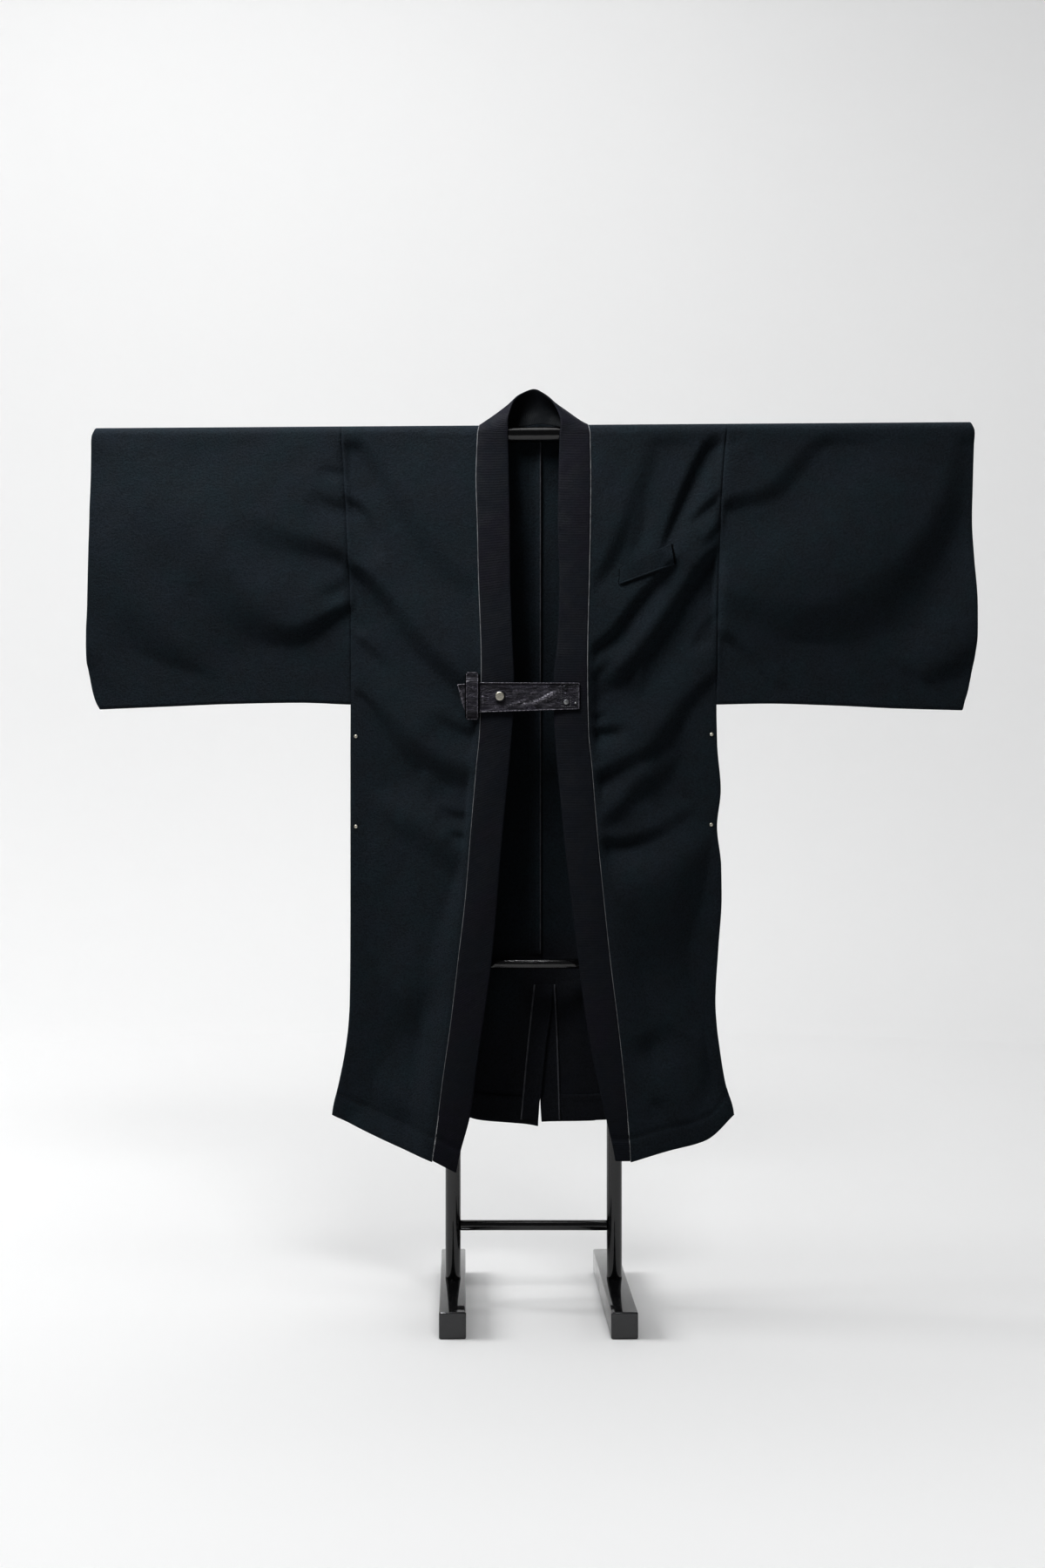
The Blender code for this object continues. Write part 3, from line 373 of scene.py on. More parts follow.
DITCH_WIDTH = 0.0017
ARMHOLE_BLEND = 0.010
ARMHOLE_FADE = 0.030

# Trim
PIPING_RADIUS = 0.0008
STRAP = (
    # x, z round the strap from its sewn end's top corner
    (0.071, 0.9765),
    (0.071, 0.9355),
    (-0.084, 0.9305),
    (-0.108, 0.9340),
    (-0.119, 0.9740),
    (-0.084, 0.9770),
)
KEEPER_X = (-0.1054, -0.0865)
KEEPER_Z = (0.919, 0.9265, 0.9815, 0.9935)
SNAP = (-0.053, 0.9556)
SNAP_RADIUS = 0.0083
SNAP_HEIGHT = 0.0035
STRAP_RIVETS = {
    "upper": ((0.0493, 0.9690), "dark_metal"),
    "lower": ((0.0504, 0.9465), "pale_metal"),
}
STRAP_RIVET_RADIUS = 0.0040
STUD = (0.0650, 0.9450)
STUD_RADIUS = 0.0016
SIDE_RIVETS = {
    "right_upper": (-0.2800, 0.894),
    "right_lower": (-0.2800, 0.752),
    "left_upper": (0.2800, 0.897),
    "left_lower": (0.2795, 0.755),
}
SIDE_RIVET_RADIUS = 0.0029
RIVET_HEIGHT = 0.0014
WELT_CORNERS = ((0.134, 1.131), (0.220, 1.162), (0.215, 1.194), (0.135, 1.156))
WELT_WALL = 0.0016
FACING_Z = (0.2845, 0.500)
FACING_EDGE_X = (
    # z, bound edge of the right facing, bound edge of the left facing
    (0.280, -0.0200, 0.0415),
    (0.400, -0.0090, 0.0380),
    (0.500, 0.0015, 0.0335),
)
SLIT_ROLL = 0.0055
ALLOWANCE_X = (-0.0065, 0.0108)
ALLOWANCE_Z = (0.549, 1.372)
HEM_GROOVE = 0.0019


# ---------------------------------------------------------------- forms


def eased(table, column):
    """A smooth line through one column of a table that never overshoots its rows."""
    keys = np.array([row[0] for row in table], float)
    values = np.array([row[column] for row in table], float)
    steps = np.diff(keys)
    slopes = np.diff(values) / steps
    before, after = slopes[:-1], slopes[1:]
    same = before * after > 0
    safe_before = np.where(same, before, 1.0)
    safe_after = np.where(same, after, 1.0)
    near = 2 * steps[1:] + steps[:-1]
    far = steps[1:] + 2 * steps[:-1]
    middle = np.where(same, (near + far) / (near / safe_before + far / safe_after), 0.0)
    tangents = np.concatenate(([slopes[0]], middle, [slopes[-1]]))

    def at(key):
        key = np.clip(key, keys[0], keys[-1])
        row = np.clip(np.searchsorted(keys, key, side="right") - 1, 0, len(steps) - 1)
        step = steps[row]
        t = (key - keys[row]) / step
        rise = t * t * (3 - 2 * t)
        return (
            values[row] * (1 - rise)
            + values[row + 1] * rise
            + tangents[row] * step * t * (1 - t) ** 2
            - tangents[row + 1] * step * t * t * (1 - t)
        )

    return at


def both_sides(table):
    return {RIGHT: eased(table, 1), LEFT: eased(table, 2)}


side_x = both_sides(SIDE_X)
seam_x = both_sides(SEAM_X)
free_x = both_sides(FREE_X)
centre_x = both_sides(CENTRE_BACK_X)
front_hem = both_sides(FRONT_HEM)
back_hem = both_sides(BACK_HEM)
sleeve_bottom = both_sides(SLEEVE_BOTTOM)
cuff_x = both_sides(CUFF_X)
facing_x = both_sides(FACING_EDGE_X)
depth_side, depth_front, depth_back = (eased(HALF_DEPTH, column) for column in (1, 2, 3))
puff = eased(SLEEVE_PUFF, 1)
neck_x, neck_turn, neck_reach = (eased(NECKLINE, column) for column in (1, 2, 3))
neck_edge = [eased(NECK_EDGE, column) for column in (1, 2, 3)]


def mix(a, b, share):
    return a + (b - a) * share


def smooth(share):
    share = np.clip(share, 0.0, 1.0)
    return share * share * (3 - 2 * share)


def hand(side):
    return "right" if side < 0 else "left"


def folds_of(panel):
    """A panel's folds: each one's stations as a curve through them, and its spread, in metres."""
    for fold in FOLDS[panel].split(";"):
        spread, stations = fold.split(":")
        line = np.array([station.split() for station in stations.split(",")], float)
        padded = np.vstack((2 * line[0] - line[1], line, 2 * line[-1] - line[-2]))
        curve = []
        for a, b, c, d in zip(padded, padded[1:], padded[2:], padded[3:]):
            for t in np.linspace(0, 1, FOLD_STEPS, endpoint=False):
                bend = (2 * a - 5 * b + 4 * c - d) * t * t + (3 * b - a - 3 * c + d) * t**3
                curve.append(0.5 * (2 * b + (c - a) * t + bend))
        curve.append(line[-1])
        yield np.array(curve) * MILLIMETRE, float(spread) * MILLIMETRE


def fold_depth(panel, x, z):
    """How far a panel's folds take it in: down across each turn and back over its spread."""
    total = np.zeros_like(x)
    deeper = FOLD_DEPTH.get(panel, BACK_FOLD_DEPTH)
    for curve, spread in folds_of(panel):
        nearest = np.full(x.shape, 1e9)
        above, drop, half = np.zeros(x.shape), np.zeros(x.shape), np.ones(x.shape)
        for start, end in zip(curve, curve[1:]):
            run = end[:2] - start[:2]
            share = ((x - start[0]) * run[0] + (z - start[1]) * run[1]) / (run @ run)
            share = np.clip(share, 0, 1)
            off_x = x - start[0] - run[0] * share
            off_z = z - start[1] - run[1] * share
            away = np.hypot(off_x, off_z)
            nearer = away < nearest
            nearest = np.where(nearer, away, nearest)
            above = np.where(nearer, np.copysign(away, run[0] * off_z - run[1] * off_x), above)
            drop = np.where(nearer, mix(start[2], end[2], share), drop)
            half = np.where(nearer, mix(start[3], end[3], share), half)
        turned = smooth(0.5 - 0.5 * above / half)
        past = np.maximum(-above - half, 0.0) / spread
        total += deeper * np.maximum(drop, 0.0) * turned * np.exp(-past * past)
    return total


def slack(x, z, seed):
    """Slow, low unevenness of hanging cloth."""
    waves = (
        # per metre across, per metre up, phase, height
        (9.1, 5.3, 0.4, 0.00050),
        (-6.7, 11.9, 1.9, 0.00042),
        (17.3, 8.1, 3.1, 0.00026),
        (-14.9, 19.7, 4.4, 0.00022),
        (29.3, -21.1, 5.2, 0.00011),
    )
    total = np.zeros_like(x)
    for across, up, phase, height in waves:
        bend = 0.6 * np.sin(7.7 * z + 5.1 * x + seed)
        total += height * np.sin(math.tau * (across * x + up * z) / 2.2 + phase * (1 + seed) + bend)
    return total


def no_nearer(depth, least):
    """Holds a wall off what is behind it, with a soft turn instead of a corner."""
    ease = 0.0014
    return 0.5 * (depth + least + np.sqrt((depth - least) ** 2 + ease**2))


def shoulder_drop(side, face, z):
    """How far folds take in the seam of the armhole: as far as both its panels agree."""
    heights = np.linspace(ARMHOLE_LOW, ROD_Z, 140)
    x = side * side_x[side](heights)
    panels = ("front_", "sleeve_") if face < 0 else ("back_", "sleeve_back_")
    drop = 0.5 * sum(fold_depth(panel + hand(side), x, heights) for panel in panels)
    drop *= smooth((heights - ARMHOLE_LOW) / ARMHOLE_FADE) * smooth((ROD_Z - heights) / TOP_FADE)
    return np.interp(z, heights, drop)


def shoulder_depth(side, face, z):
    """Half depth along the side seam and the armhole above it."""
    base = depth_side(z)
    folded = no_nearer(base - shoulder_drop(side, face, z), LEAST_DEPTH)
    return mix(base, folded, smooth((z - ARMHOLE_LOW) / ARMHOLE_FADE))


def ditch(z, gap):
    """How far the armhole's seam pulls the cloth in beside it."""
    return SEAM_DITCH * np.exp(-((gap / DITCH_WIDTH) ** 2)) * smooth((z - ARMHOLE_LOW) / ARMHOLE_FADE)


def hanging(panel, side, face, x, z, base, inner_gap, outer_gap):
    """Half depth of a wall: its plain shape less its folds, which meet at the armhole."""
    own_slack = sum(map(ord, panel)) % 7 * 0.37
    drop = fold_depth(panel, x, z) + slack(x, z, own_slack)
    drop = mix(shoulder_drop(side, face, z), drop, smooth(outer_gap / ARMHOLE_BLEND))
    drop = drop * smooth(inner_gap / FOLD_FADE) * smooth((ROD_Z - z) / TOP_FADE)
    by_post = smooth((POST_REACH - np.abs(np.abs(x) - POST_X)) / POST_FADE)
    folded = no_nearer(base - drop, mix(LEAST_DEPTH, POST_DEPTH, by_post))
    folded = mix(shoulder_depth(side, face, z), folded, smooth(outer_gap / SEAM_FADE))
    fade = mix(COLLAR_FADE, LOW_COLLAR_FADE, smooth((0.74 - z) / 0.22))
    return mix(base, folded, smooth(inner_gap / fade)) - ditch(z, outer_gap)


def front_depth(side, x, z):
    inner, outer = seam_x[side](z), side_x[side](z)
    share = np.clip((np.abs(x) - inner) / (outer - inner), 0, 1)
    base = mix(depth_side(z), depth_front(z), 1 - share**2.2)
    wide = outer - inner
    return hanging("front_" + hand(side), side, -1, x, z, base, wide * share, wide * (1 - share))


def back_depth(side, x, z):
    inner, outer = side * centre_x[side](z), side_x[side](z)
    share = np.clip((side * x - inner) / (outer - inner), 0, 1)
    base = mix(depth_side(z), depth_back(z), 1 - share**2.6)
    wide = outer - inner
    return hanging("back_" + hand(side), side, 1, x, z, base, wide * share, wide * (1 - share))


def stacked(x, y, z):
    return np.stack(np.broadcast_arrays(x, y, z), axis=-1).astype(float)


def round_rod(x, degrees, radius=DRAPE):
    turn = np.radians(degrees)
    return stacked(x, -radius * np.sin(turn), ROD_Z + radius * np.cos(turn))


# ---------------------------------------------------------------- the cut pieces

FRONT_ROWS = 230
BACK_ROWS = 215
TURN_STEPS = (78, 66, 54, 42, 30, 15, 0, -15, -30, -42, -54, -66, -78)
TOP_STEP = TURN_STEPS.index(0)
BODY_SHARES = np.concatenate(([1.0, 0.9965, 0.993, 0.989, 0.984], np.linspace(0.976, 0.0, 50)))
FRONT_COLUMNS = len(BODY_SHARES) - 1
NECK_COLUMNS = 22


def body_grid(side):
    """Inner face of a body panel, rows from front hem over the rod to back hem.

    The first column is the side seam, then the collar seam or shoulder, and the last
    is the centre back. Missing rows of the short neck columns repeat their first one.
    """
    share = BODY_SHARES
    rise = np.linspace(0, 1, FRONT_ROWS + 1)[:, None]
    low = front_hem[side](mix(HEM_SEAM_X, HEM_SIDE_X, share))
    z = mix(low, ROD_Z, rise)
    x = side * mix(seam_x[side](z), side_x[side](z), share)
    front = stacked(x, -front_depth(side, x, z), z)
    degrees = np.array(TURN_STEPS, float)[:, None]
    to_x = side * mix(NECKLINE[0][1], side_x[side](ROD_Z), share)
    over_x = mix(front[-1, :, 0], to_x, np.minimum(1.0, 1 - degrees / 90))
    over = round_rod(over_x, degrees)

    fall = np.linspace(0, 1, BACK_ROWS + 1)[:, None]
    parting = mix(*PARTING, fall)

    def back_z(foot):
        level = mix(back_hem[RIGHT](foot), back_hem[LEFT](foot), 0.5)
        return mix(ROD_Z, level, fall) + (back_hem[side](foot) - level) * smooth(fall * 5 - 4)

    z = back_z(mix(PARTING[1], HEM_SIDE_X, share))
    x = side * mix(parting, side_x[side](z), share)
    back = stacked(x, back_depth(side, x, z), z)
    main = np.concatenate((front, over, back))

    share = np.linspace(0, 1, NECK_COLUMNS + 1)[1:]
    reach = (neck_x(share) - NECKLINE[-1][1]) / (NECKLINE[0][1] - NECKLINE[-1][1])
    centre = centre_x[side](ROD_Z)
    start_x = mix(centre, side * NECKLINE[0][1], reach)
    done = np.arange(len(TURN_STEPS) - TOP_STEP)[:, None] / (len(TURN_STEPS) - TOP_STEP)
    turned = -mix(neck_turn(share), 90, done)
    top = round_rod(start_x, turned, mix(neck_reach(share), DRAPE, done))
    z = back_z(mix(PARTING[1], 0.0, share))
    x = mix(centre_x[side](z), side * parting, reach)
    back = stacked(x, back_depth(side, x, z), z)
    neck = np.concatenate((top, back))
    missing = len(main) - len(neck)
    neck = np.concatenate((np.repeat(neck[:1], missing, axis=0), neck))
    return np.concatenate((main, neck), axis=1), missing


def unit(vectors):
    return vectors / np.maximum(np.linalg.norm(vectors, axis=-1, keepdims=True), 1e-12)


def turned_in(grid, rows, outward, gap=0.00025):
    """Adds the turned allowance before a grid's first row: round the edge and up inside.

    outward is the cloth's outer side there: one direction or one for each point.
    """
    along = np.gradient(grid[: rows + 1], axis=1)
    down = -np.gradient(grid[: rows + 2], axis=0)[: rows + 1]
    normal = unit(np.cross(along, down))
    normal *= np.where((normal * outward).sum(-1, keepdims=True) < 0, -1.0, 1.0)
    off = unit(down[0])
    inside = (grid[: rows + 1] - normal * 2 * gap)[::-1]
    turns = [
        grid[0] + off * gap * math.sin(turn) - normal[0] * gap * (1 - math.cos(turn))
        for turn in (2.6, 1.57, 0.5)
    ]
    return np.concatenate((inside, np.array(turns), grid))


def lifted(points):
    """Cloth on the rod rises with it towards the wearer's left; then into the frame."""
    points = np.array(points, float)
    share = smooth((points[..., 2] - TILT_FROM) / (ROD_Z - TILT_FROM))
    points[..., 2] += ROD_TILT * points[..., 0] * share
    points[..., 0] += SHIFT
    return points


# ---------------------------------------------------------------- making meshes

TO_FRONT, TO_BACK = (0, -1, 0), (0, 1, 0)
SAME_POINT = 0.000001
CLOTH_RIM = 0.0007


def finished(name, bm, finish):
    """A piece from a bmesh, its place in its mesh."""
    mesh = bpy.data.meshes.new(name)
    bm.to_mesh(mesh)
    bm.free()
    mesh.shade_smooth()
    mesh.materials.append(finish)
    piece = bpy.data.objects.new(name, mesh)
    bpy.context.scene.collection.objects.link(piece)
    return piece


def lengths_along(points):
    """How far along its first axis each point of a line or grid lies."""
    steps = np.linalg.norm(np.diff(points, axis=0), axis=-1)
    return np.concatenate((np.zeros((1, *steps.shape[1:])), np.cumsum(steps, axis=0)))


def cut_of(grid, start_row=0):
    """Places on the flat cloth: across by x, along by the length of each column."""
    along = lengths_along(grid)
    return np.stack((grid[..., 0], along - along[start_row]), axis=-1)


def cloth_piece(name, grid, wall, finish, front, rim=CLOTH_RIM, cut=None, skipped=None, welded=False):
    """A wall of cloth on a grid of inner points, thickened outwards and softened at its rims.

    front is the row and column of a face that looks to the front. cut holds each point's
    place on the flat cloth, and skipped marks the points that are left out.
    """
    rows, columns = grid.shape[:2]
    bm = bmesh.new()
    bmesh.ops.create_grid(bm, x_segments=columns - 1, y_segments=rows - 1, size=1)
    layer = bm.loops.layers.uv.new("cut")
    flat = (cut_of(grid) if cut is None else cut).reshape(-1, 2)
    for vert, place in zip(bm.verts, lifted(grid).reshape(-1, 3)):
        vert.co = place
    for face in bm.faces:
        for loop in face.loops:
            loop[layer].uv = flat[loop.vert.index]
    bm.faces.ensure_lookup_table()
    bm.normal_update()
    if bm.faces[front[0] * (columns - 1) + front[1]].normal.y > 0:
        bmesh.ops.reverse_faces(bm, faces=bm.faces[:])
    if skipped is not None:
        out = skipped.reshape(-1)
        spare = [face for face in bm.faces if any(out[vert.index] for vert in face.verts)]
        bmesh.ops.delete(bm, geom=spare, context="FACES")
    if welded:
        bmesh.ops.remove_doubles(bm, verts=bm.verts[:], dist=0.00001)
    piece = finished(name, bm, finish)
    walls = piece.modifiers.new("wall", "SOLIDIFY")
    walls.thickness = wall
    walls.offset = 1.0
    walls.use_quality_normals = True
    edge = piece.modifiers.new("rim", "BEVEL")
    edge.width = rim
    edge.segments = 2
    edge.limit_method = "ANGLE"
    edge.angle_limit = math.radians(62)
    return piece


def turned_piece(name, profile, seat, direction, finish, steps):
    """A turned piece: a profile of radius and height spun about an axis from its seat."""
    bm = bmesh.new()
    line = [bm.verts.new((radius, 0, height)) for radius, height in profile]
    edges = [bm.edges.new(pair) for pair in zip(line, line[1:])]
    spin = {"cent": (0, 0, 0), "axis": (0, 0, 1), "angle": math.tau, "steps": steps}
    bmesh.ops.spin(bm, geom=line + edges, use_merge=True, **spin)
    bmesh.ops.remove_doubles(bm, verts=bm.verts[:], dist=SAME_POINT)
    bmesh.ops.recalc_face_normals(bm, faces=bm.faces[:])
    turn = Vector((0, 0, 1)).rotation_difference(Vector(direction)).to_matrix().to_4x4()
    bmesh.ops.transform(bm, matrix=Matrix.Translation(seat) @ turn, verts=bm.verts[:])
    return finished(name, bm, finish)


def round_bar(name, start, end, radius, finish):
    """A round bar with softened ends."""
    edge = 0.0012
    start, end = Vector(start), Vector(end)
    length = (end - start).length
    profile = [(0, 0), (radius - edge, 0)]
    for turn in (30, 60, 90):
        a = math.radians(turn)
        profile.append((radius - edge + edge * math.sin(a), edge - edge * math.cos(a)))
    profile += [(r, length - h) for r, h in reversed(profile)]
    return turned_piece(name, profile, start, end - start, finish, 64)


def boxed(name, size, centre, turn, finish):
    """A block with softened edges."""
    bm = bmesh.new()
    bmesh.ops.create_cube(bm, size=1)
    bmesh.ops.scale(bm, vec=size, verts=bm.verts[:])
    soft = {"affect": "EDGES", "offset": 0.0025, "segments": 4, "profile": 0.5, "material": -1}
    bmesh.ops.bevel(bm, geom=bm.edges[:], **soft)
    matrix = Matrix.Translation(centre) @ Matrix.Rotation(turn, 4, "Z")
    bmesh.ops.transform(bm, matrix=matrix, verts=bm.verts[:])
    piece = finished(name, bm, finish)
    piece.data.set_sharp_from_angle(angle=math.radians(30))
    return piece


def tube(name, points, radius, finish, sides=10, shares=None):
    """A round cord along points in the posts' frame; shares are of its radius, point by point."""
    points = lifted(points)
    curve = bpy.data.curves.new(name, "CURVE")
    curve.dimensions = "3D"
    curve.bevel_depth = radius
    curve.bevel_resolution = sides // 2 - 1
    curve.use_fill_caps = True
    spline = curve.splines.new("POLY")
    spline.points.add(len(points) - 1)
    shares = np.ones(len(points)) if shares is None else shares
    for target, point, share in zip(spline.points, points, shares):
        target.co = (*point, 1.0)
        target.radius = share
    line = bpy.data.objects.new(name + "_line", curve)
    bpy.context.scene.collection.objects.link(line)
    mesh = bpy.data.meshes.new_from_object(line)
    bpy.data.objects.remove(line)
    bpy.data.curves.remove(curve)
    bm = bmesh.new()
    bm.from_mesh(mesh)
    bpy.data.meshes.remove(mesh)
    bmesh.ops.remove_doubles(bm, verts=bm.verts[:], dist=SAME_POINT)
    return finished(name, bm, finish)


def stitched(name, lines, finish, pitch=0.0040, length=0.0027, radius=0.00036):
    """Stitches along lines of surface points, each a short thread sunk in the cloth."""
    bm = bmesh.new()
    for line in lines:
        line = lifted(line)
        reach = lengths_along(line)
        count = max(1, int(reach[-1] / pitch))
        for index in range(count):
            middle = (index + 0.5) * reach[-1] / count
            ends = [
                Vector([np.interp(middle + half * length, reach, line[:, k]) for k in range(3)])
                for half in (-0.5, 0.5)
            ]
            run = ends[1] - ends[0]
            turn = run.to_track_quat("Z", "Y").to_matrix().to_4x4()
            size = {"radius1": radius, "radius2": radius, "depth": run.length}
            matrix = Matrix.Translation((ends[0] + ends[1]) / 2) @ turn
            bmesh.ops.create_cone(bm, cap_ends=True, segments=6, matrix=matrix, **size)
    return finished(name, bm, finish)


# ---------------------------------------------------------------- finishes


def rgb(red, green, blue):
    return (red, green, blue, 1.0)


class Mixture:
    """A tree of nodes being put together, with a short call for each kind of step."""

    def __init__(self, tree):
        self.tree = tree

    def node(self, kind, values, **settings):
        """A new node's outputs; each value is linked to its socket or set on it."""
        made = self.tree.nodes.new(kind)
        for key, value in settings.items():
            setattr(made, key, value)
        for key, value in values.items():
            if isinstance(value, bpy.types.NodeSocket):
                self.tree.links.new(value, made.inputs[key])
            else:
                made.inputs[key].default_value = value
        return made.outputs

    def maths(self, operation, *values, clamp=False):
        values = dict(enumerate(values))
        return self.node("ShaderNodeMath", values, operation=operation, use_clamp=clamp)[0]

    def plus(self, a, b):
        return self.maths("ADD", a, b)

    def less(self, a, b):
        return self.maths("SUBTRACT", a, b)

    def times(self, a, b):
        return self.maths("MULTIPLY", a, b)

    def times_plus(self, a, b, c, clamp=False):
        return self.maths("MULTIPLY_ADD", a, b, c, clamp=clamp)

    def waves(self, place, pitch):
        return self.maths("SINE", self.times(place, self.maths("DIVIDE", math.tau, pitch)))

    def off_middle(self, value):
        return self.maths("ABSOLUTE", self.less(value, 0.5))

    def between(self, share, first, second):
        """A colour between two, by a share."""
        return self.node("ShaderNodeMix", {0: share, 6: first, 7: second}, data_type="RGBA")[2]

    def ranged(self, value, low, high, to_low=0.0, to_high=1.0):
        values = {0: value, 1: low, 2: high, 3: to_low, 4: to_high}
        return self.node("ShaderNodeMapRange", values, interpolation_type="SMOOTHSTEP")[0]

    def noise(self, vector, scale, detail=3.0, roughness=0.55, distortion=0.0):
        values = {"Vector": vector, "Scale": scale, "Detail": detail}
        values.update({"Roughness": roughness, "Distortion": distortion})
        return self.node("ShaderNodeTexNoise", values)["Fac"]

    def stretched(self, vector, scale, turn=(0.0, 0.0, 0.0)):
        values = {"Vector": vector, "Rotation": turn, "Scale": scale}
        return self.node("ShaderNodeMapping", values)[0]

    def axes(self, vector):
        return self.node("ShaderNodeSeparateXYZ", {0: vector})

    def bump(self, height, distance, under=None):
        values = {"Height": height, "Distance": distance}
        if under is not None:
            values["Normal"] = under
        return self.node("ShaderNodeBump", values)[0]

    def effect(self, shared, values):
        return self.node("ShaderNodeGroup", values, node_tree=shared)


class Recipe(Mixture):
    """A material being mixed: its shader's plain sockets, and the coordinates that it reads."""

    def __init__(self, name, constants):
        self.material = bpy.data.materials.new(name)
        self.material.use_nodes = True
        super().__init__(self.material.node_tree)
        self.sockets = self.tree.nodes["Principled BSDF"].inputs
        for key, value in constants.items():
            self.sockets[key].default_value = value
        coordinates = self.tree.nodes.new("ShaderNodeTexCoord").outputs
        self.place, self.cut = coordinates["Object"], coordinates["UV"]

    def clouds(self, *settings):
        """Noise in the space of the whole object."""
        return self.noise(self.place, *settings)

    def done(self, colour, rough=None, normal=None):
        for key, socket in (("Base Color", colour), ("Roughness", rough), ("Normal", normal)):
            if socket is not None:
                self.tree.links.new(socket, self.sockets[key])
        return self.material


def group(name, inputs, outputs, build):
    """A shared effect. inputs are numbers, or None for a vector; build gives its outputs."""
    made = bpy.data.node_groups.new(name, "ShaderNodeTree")
    for label, value in inputs.items():
        kind = "NodeSocketVector" if value is None else "NodeSocketFloat"
        socket = made.interface.new_socket(name=label, in_out="INPUT", socket_type=kind)
        if value is not None:
            socket.default_value = value
    for label in outputs:
        made.interface.new_socket(name=label, in_out="OUTPUT", socket_type="NodeSocketFloat")
    given = made.nodes.new("NodeGroupInput").outputs
    results = made.nodes.new("NodeGroupOutput").inputs
    for label, socket in build(Mixture(made), given).items():
        made.links.new(socket, results[label])
    return made


def build_threads(tree, given):
    """Warp and weft crossing in a twill, with threads that vary a little."""
    across, along, _ = tree.axes(given["Cut"])
    wander = tree.noise(given["Cut"], 90.0, 2.0)
    shifted = tree.times_plus(wander, given["Wander"], across)
    warp, weft = (tree.waves(place, given["Pitch"]) for place in (shifted, along))
    lean = tree.waves(tree.plus(shifted, along), given["Pitch"])
    height = tree.times_plus(lean, given["Twill"], tree.times(warp, weft))
    return {"Height": tree.times_plus(height, 0.5, 0.5)}


def build_nap(tree, given):
    """Raised fibre: small felted tufts over a broader cloudiness."""
    scale = tree.maths("DIVIDE", 1.0, given["Tuft"])
    tufts = tree.noise(given["Place"], scale, 4.0, 0.65, 0.4)
    clouds = tree.noise(given["Place"], tree.times(scale, 0.09), 3.0, 0.5)
    return {"Tufts": tree.ranged(tufts, 0.34, 0.68), "Clouds": tree.ranged(clouds, 0.35, 0.65)}


def build_wear(tree, given):
    """Rubbed patches and fine scratches."""
    patches = tree.noise(given["Place"], given["Patch scale"], 6.0, 0.7)
    edge = tree.less(0.76, tree.times(given["Amount"], 0.3))
    drawn_out = tree.stretched(given["Place"], (1.0, 1.0, 9.0))
    lines = tree.noise(drawn_out, tree.times(given["Patch scale"], 2.6), 2.0)
    return {
        "Rubbed": tree.ranged(patches, edge, tree.plus(edge, 0.05)),
        "Scratches": tree.ranged(tree.off_middle(lines), 0.0, 0.012, 1.0, 0.0),
    }


def build_ribs(tree, given):
    """Ribs across a band, each a rounded cord with small breaks."""
    wander = tree.times(tree.less(tree.noise(given["Cut"], 120.0, 2.0), 0.5), 0.0009)
    along = tree.plus(tree.axes(given["Cut"])[1], wander)
    return {"Height": tree.times_plus(tree.waves(along, given["Pitch"]), 0.5, 0.5)}


THREAD_INPUTS = {"Cut": None, "Pitch": 0.0007, "Twill": 0.4, "Wander": 0.0004}
WEAR_INPUTS = {"Place": None, "Patch scale": 60.0, "Amount": 0.1}
threads = group("threads", THREAD_INPUTS, ("Height",), build_threads)
nap = group("nap", {"Place": None, "Tuft": 0.003}, ("Tufts", "Clouds"), build_nap)
wear = group("wear", WEAR_INPUTS, ("Rubbed", "Scratches"), build_wear)
ribs = group("ribs", {"Cut": None, "Pitch": 0.002}, ("Height",), build_ribs)


def woven(name, level, sheen, sheen_roughness, sheen_tint):
    """The start of a cloth's recipe: its plain gloss and sheen."""
    sheens = {"Sheen Weight": sheen, "Sheen Roughness": sheen_roughness, "Sheen Tint": sheen_tint}
    return Recipe(name, {"Specular IOR Level": level, **sheens})


def wool_finish():
    """Napped wool with its threads and slow unevenness, and a plainer wrong side that is darker low
    inside the back, partly as painted shade.
    """
    wool = woven("napped_wool", 0.25, 0.05, 0.45, rgb(0.62, 0.78, 1.0))
    weave = wool.effect(threads, {"Cut": wool.cut, "Pitch": 0.00075, "Twill": 0.45})["Height"]
    tufts, clouds = wool.effect(nap, {"Place": wool.place, "Tuft": 0.0030})
    shade = wool.times_plus(tufts, 0.55, wool.times(clouds, 0.3))
    shade = wool.times_plus(weave, 0.15, shade, clamp=True)
    faded = wool.ranged(wool.clouds(16.0, 4.0, 0.6), 0.40, 0.62)
    light = wool.between(faded, rgb(0.0185, 0.0250, 0.0325), rgb(0.01591, 0.0260, 0.03185))
    right_side = wool.between(shade, rgb(0.0060, 0.0088, 0.0122), light)
    wrong_side_and_painted_shade = wool.between(shade, rgb(0.0052, 0.0058, 0.0080), rgb(0.0148, 0.0162, 0.0216))
    # The wrong side shows below, on the faces of the back that look to the front, darkened there partly
    # as painted shade inside the jacket
    _, behind, height = wool.axes(wool.place)
    looks = wool.axes(wool.node("ShaderNodeNewGeometry", {})["Normal"])[1]
    inside = wool.times(wool.ranged(behind, 0.010, 0.030), wool.ranged(looks, -0.6, -0.3, 1.0, 0.0))
    inside = wool.times(inside, wool.ranged(height, 0.54, 0.60, 1.0, 0.0))
    creased = wool.bump(wool.clouds(34.0, 4.0, 0.5, 0.3), 0.0012)
    felted = wool.bump(tufts, 0.00060, creased)
    return wool.done(
        wool.between(inside, right_side, wrong_side_and_painted_shade),
        wool.ranged(clouds, 0.0, 1.0, 0.81, 0.91),
        wool.bump(weave, 0.00012, felted),
    )


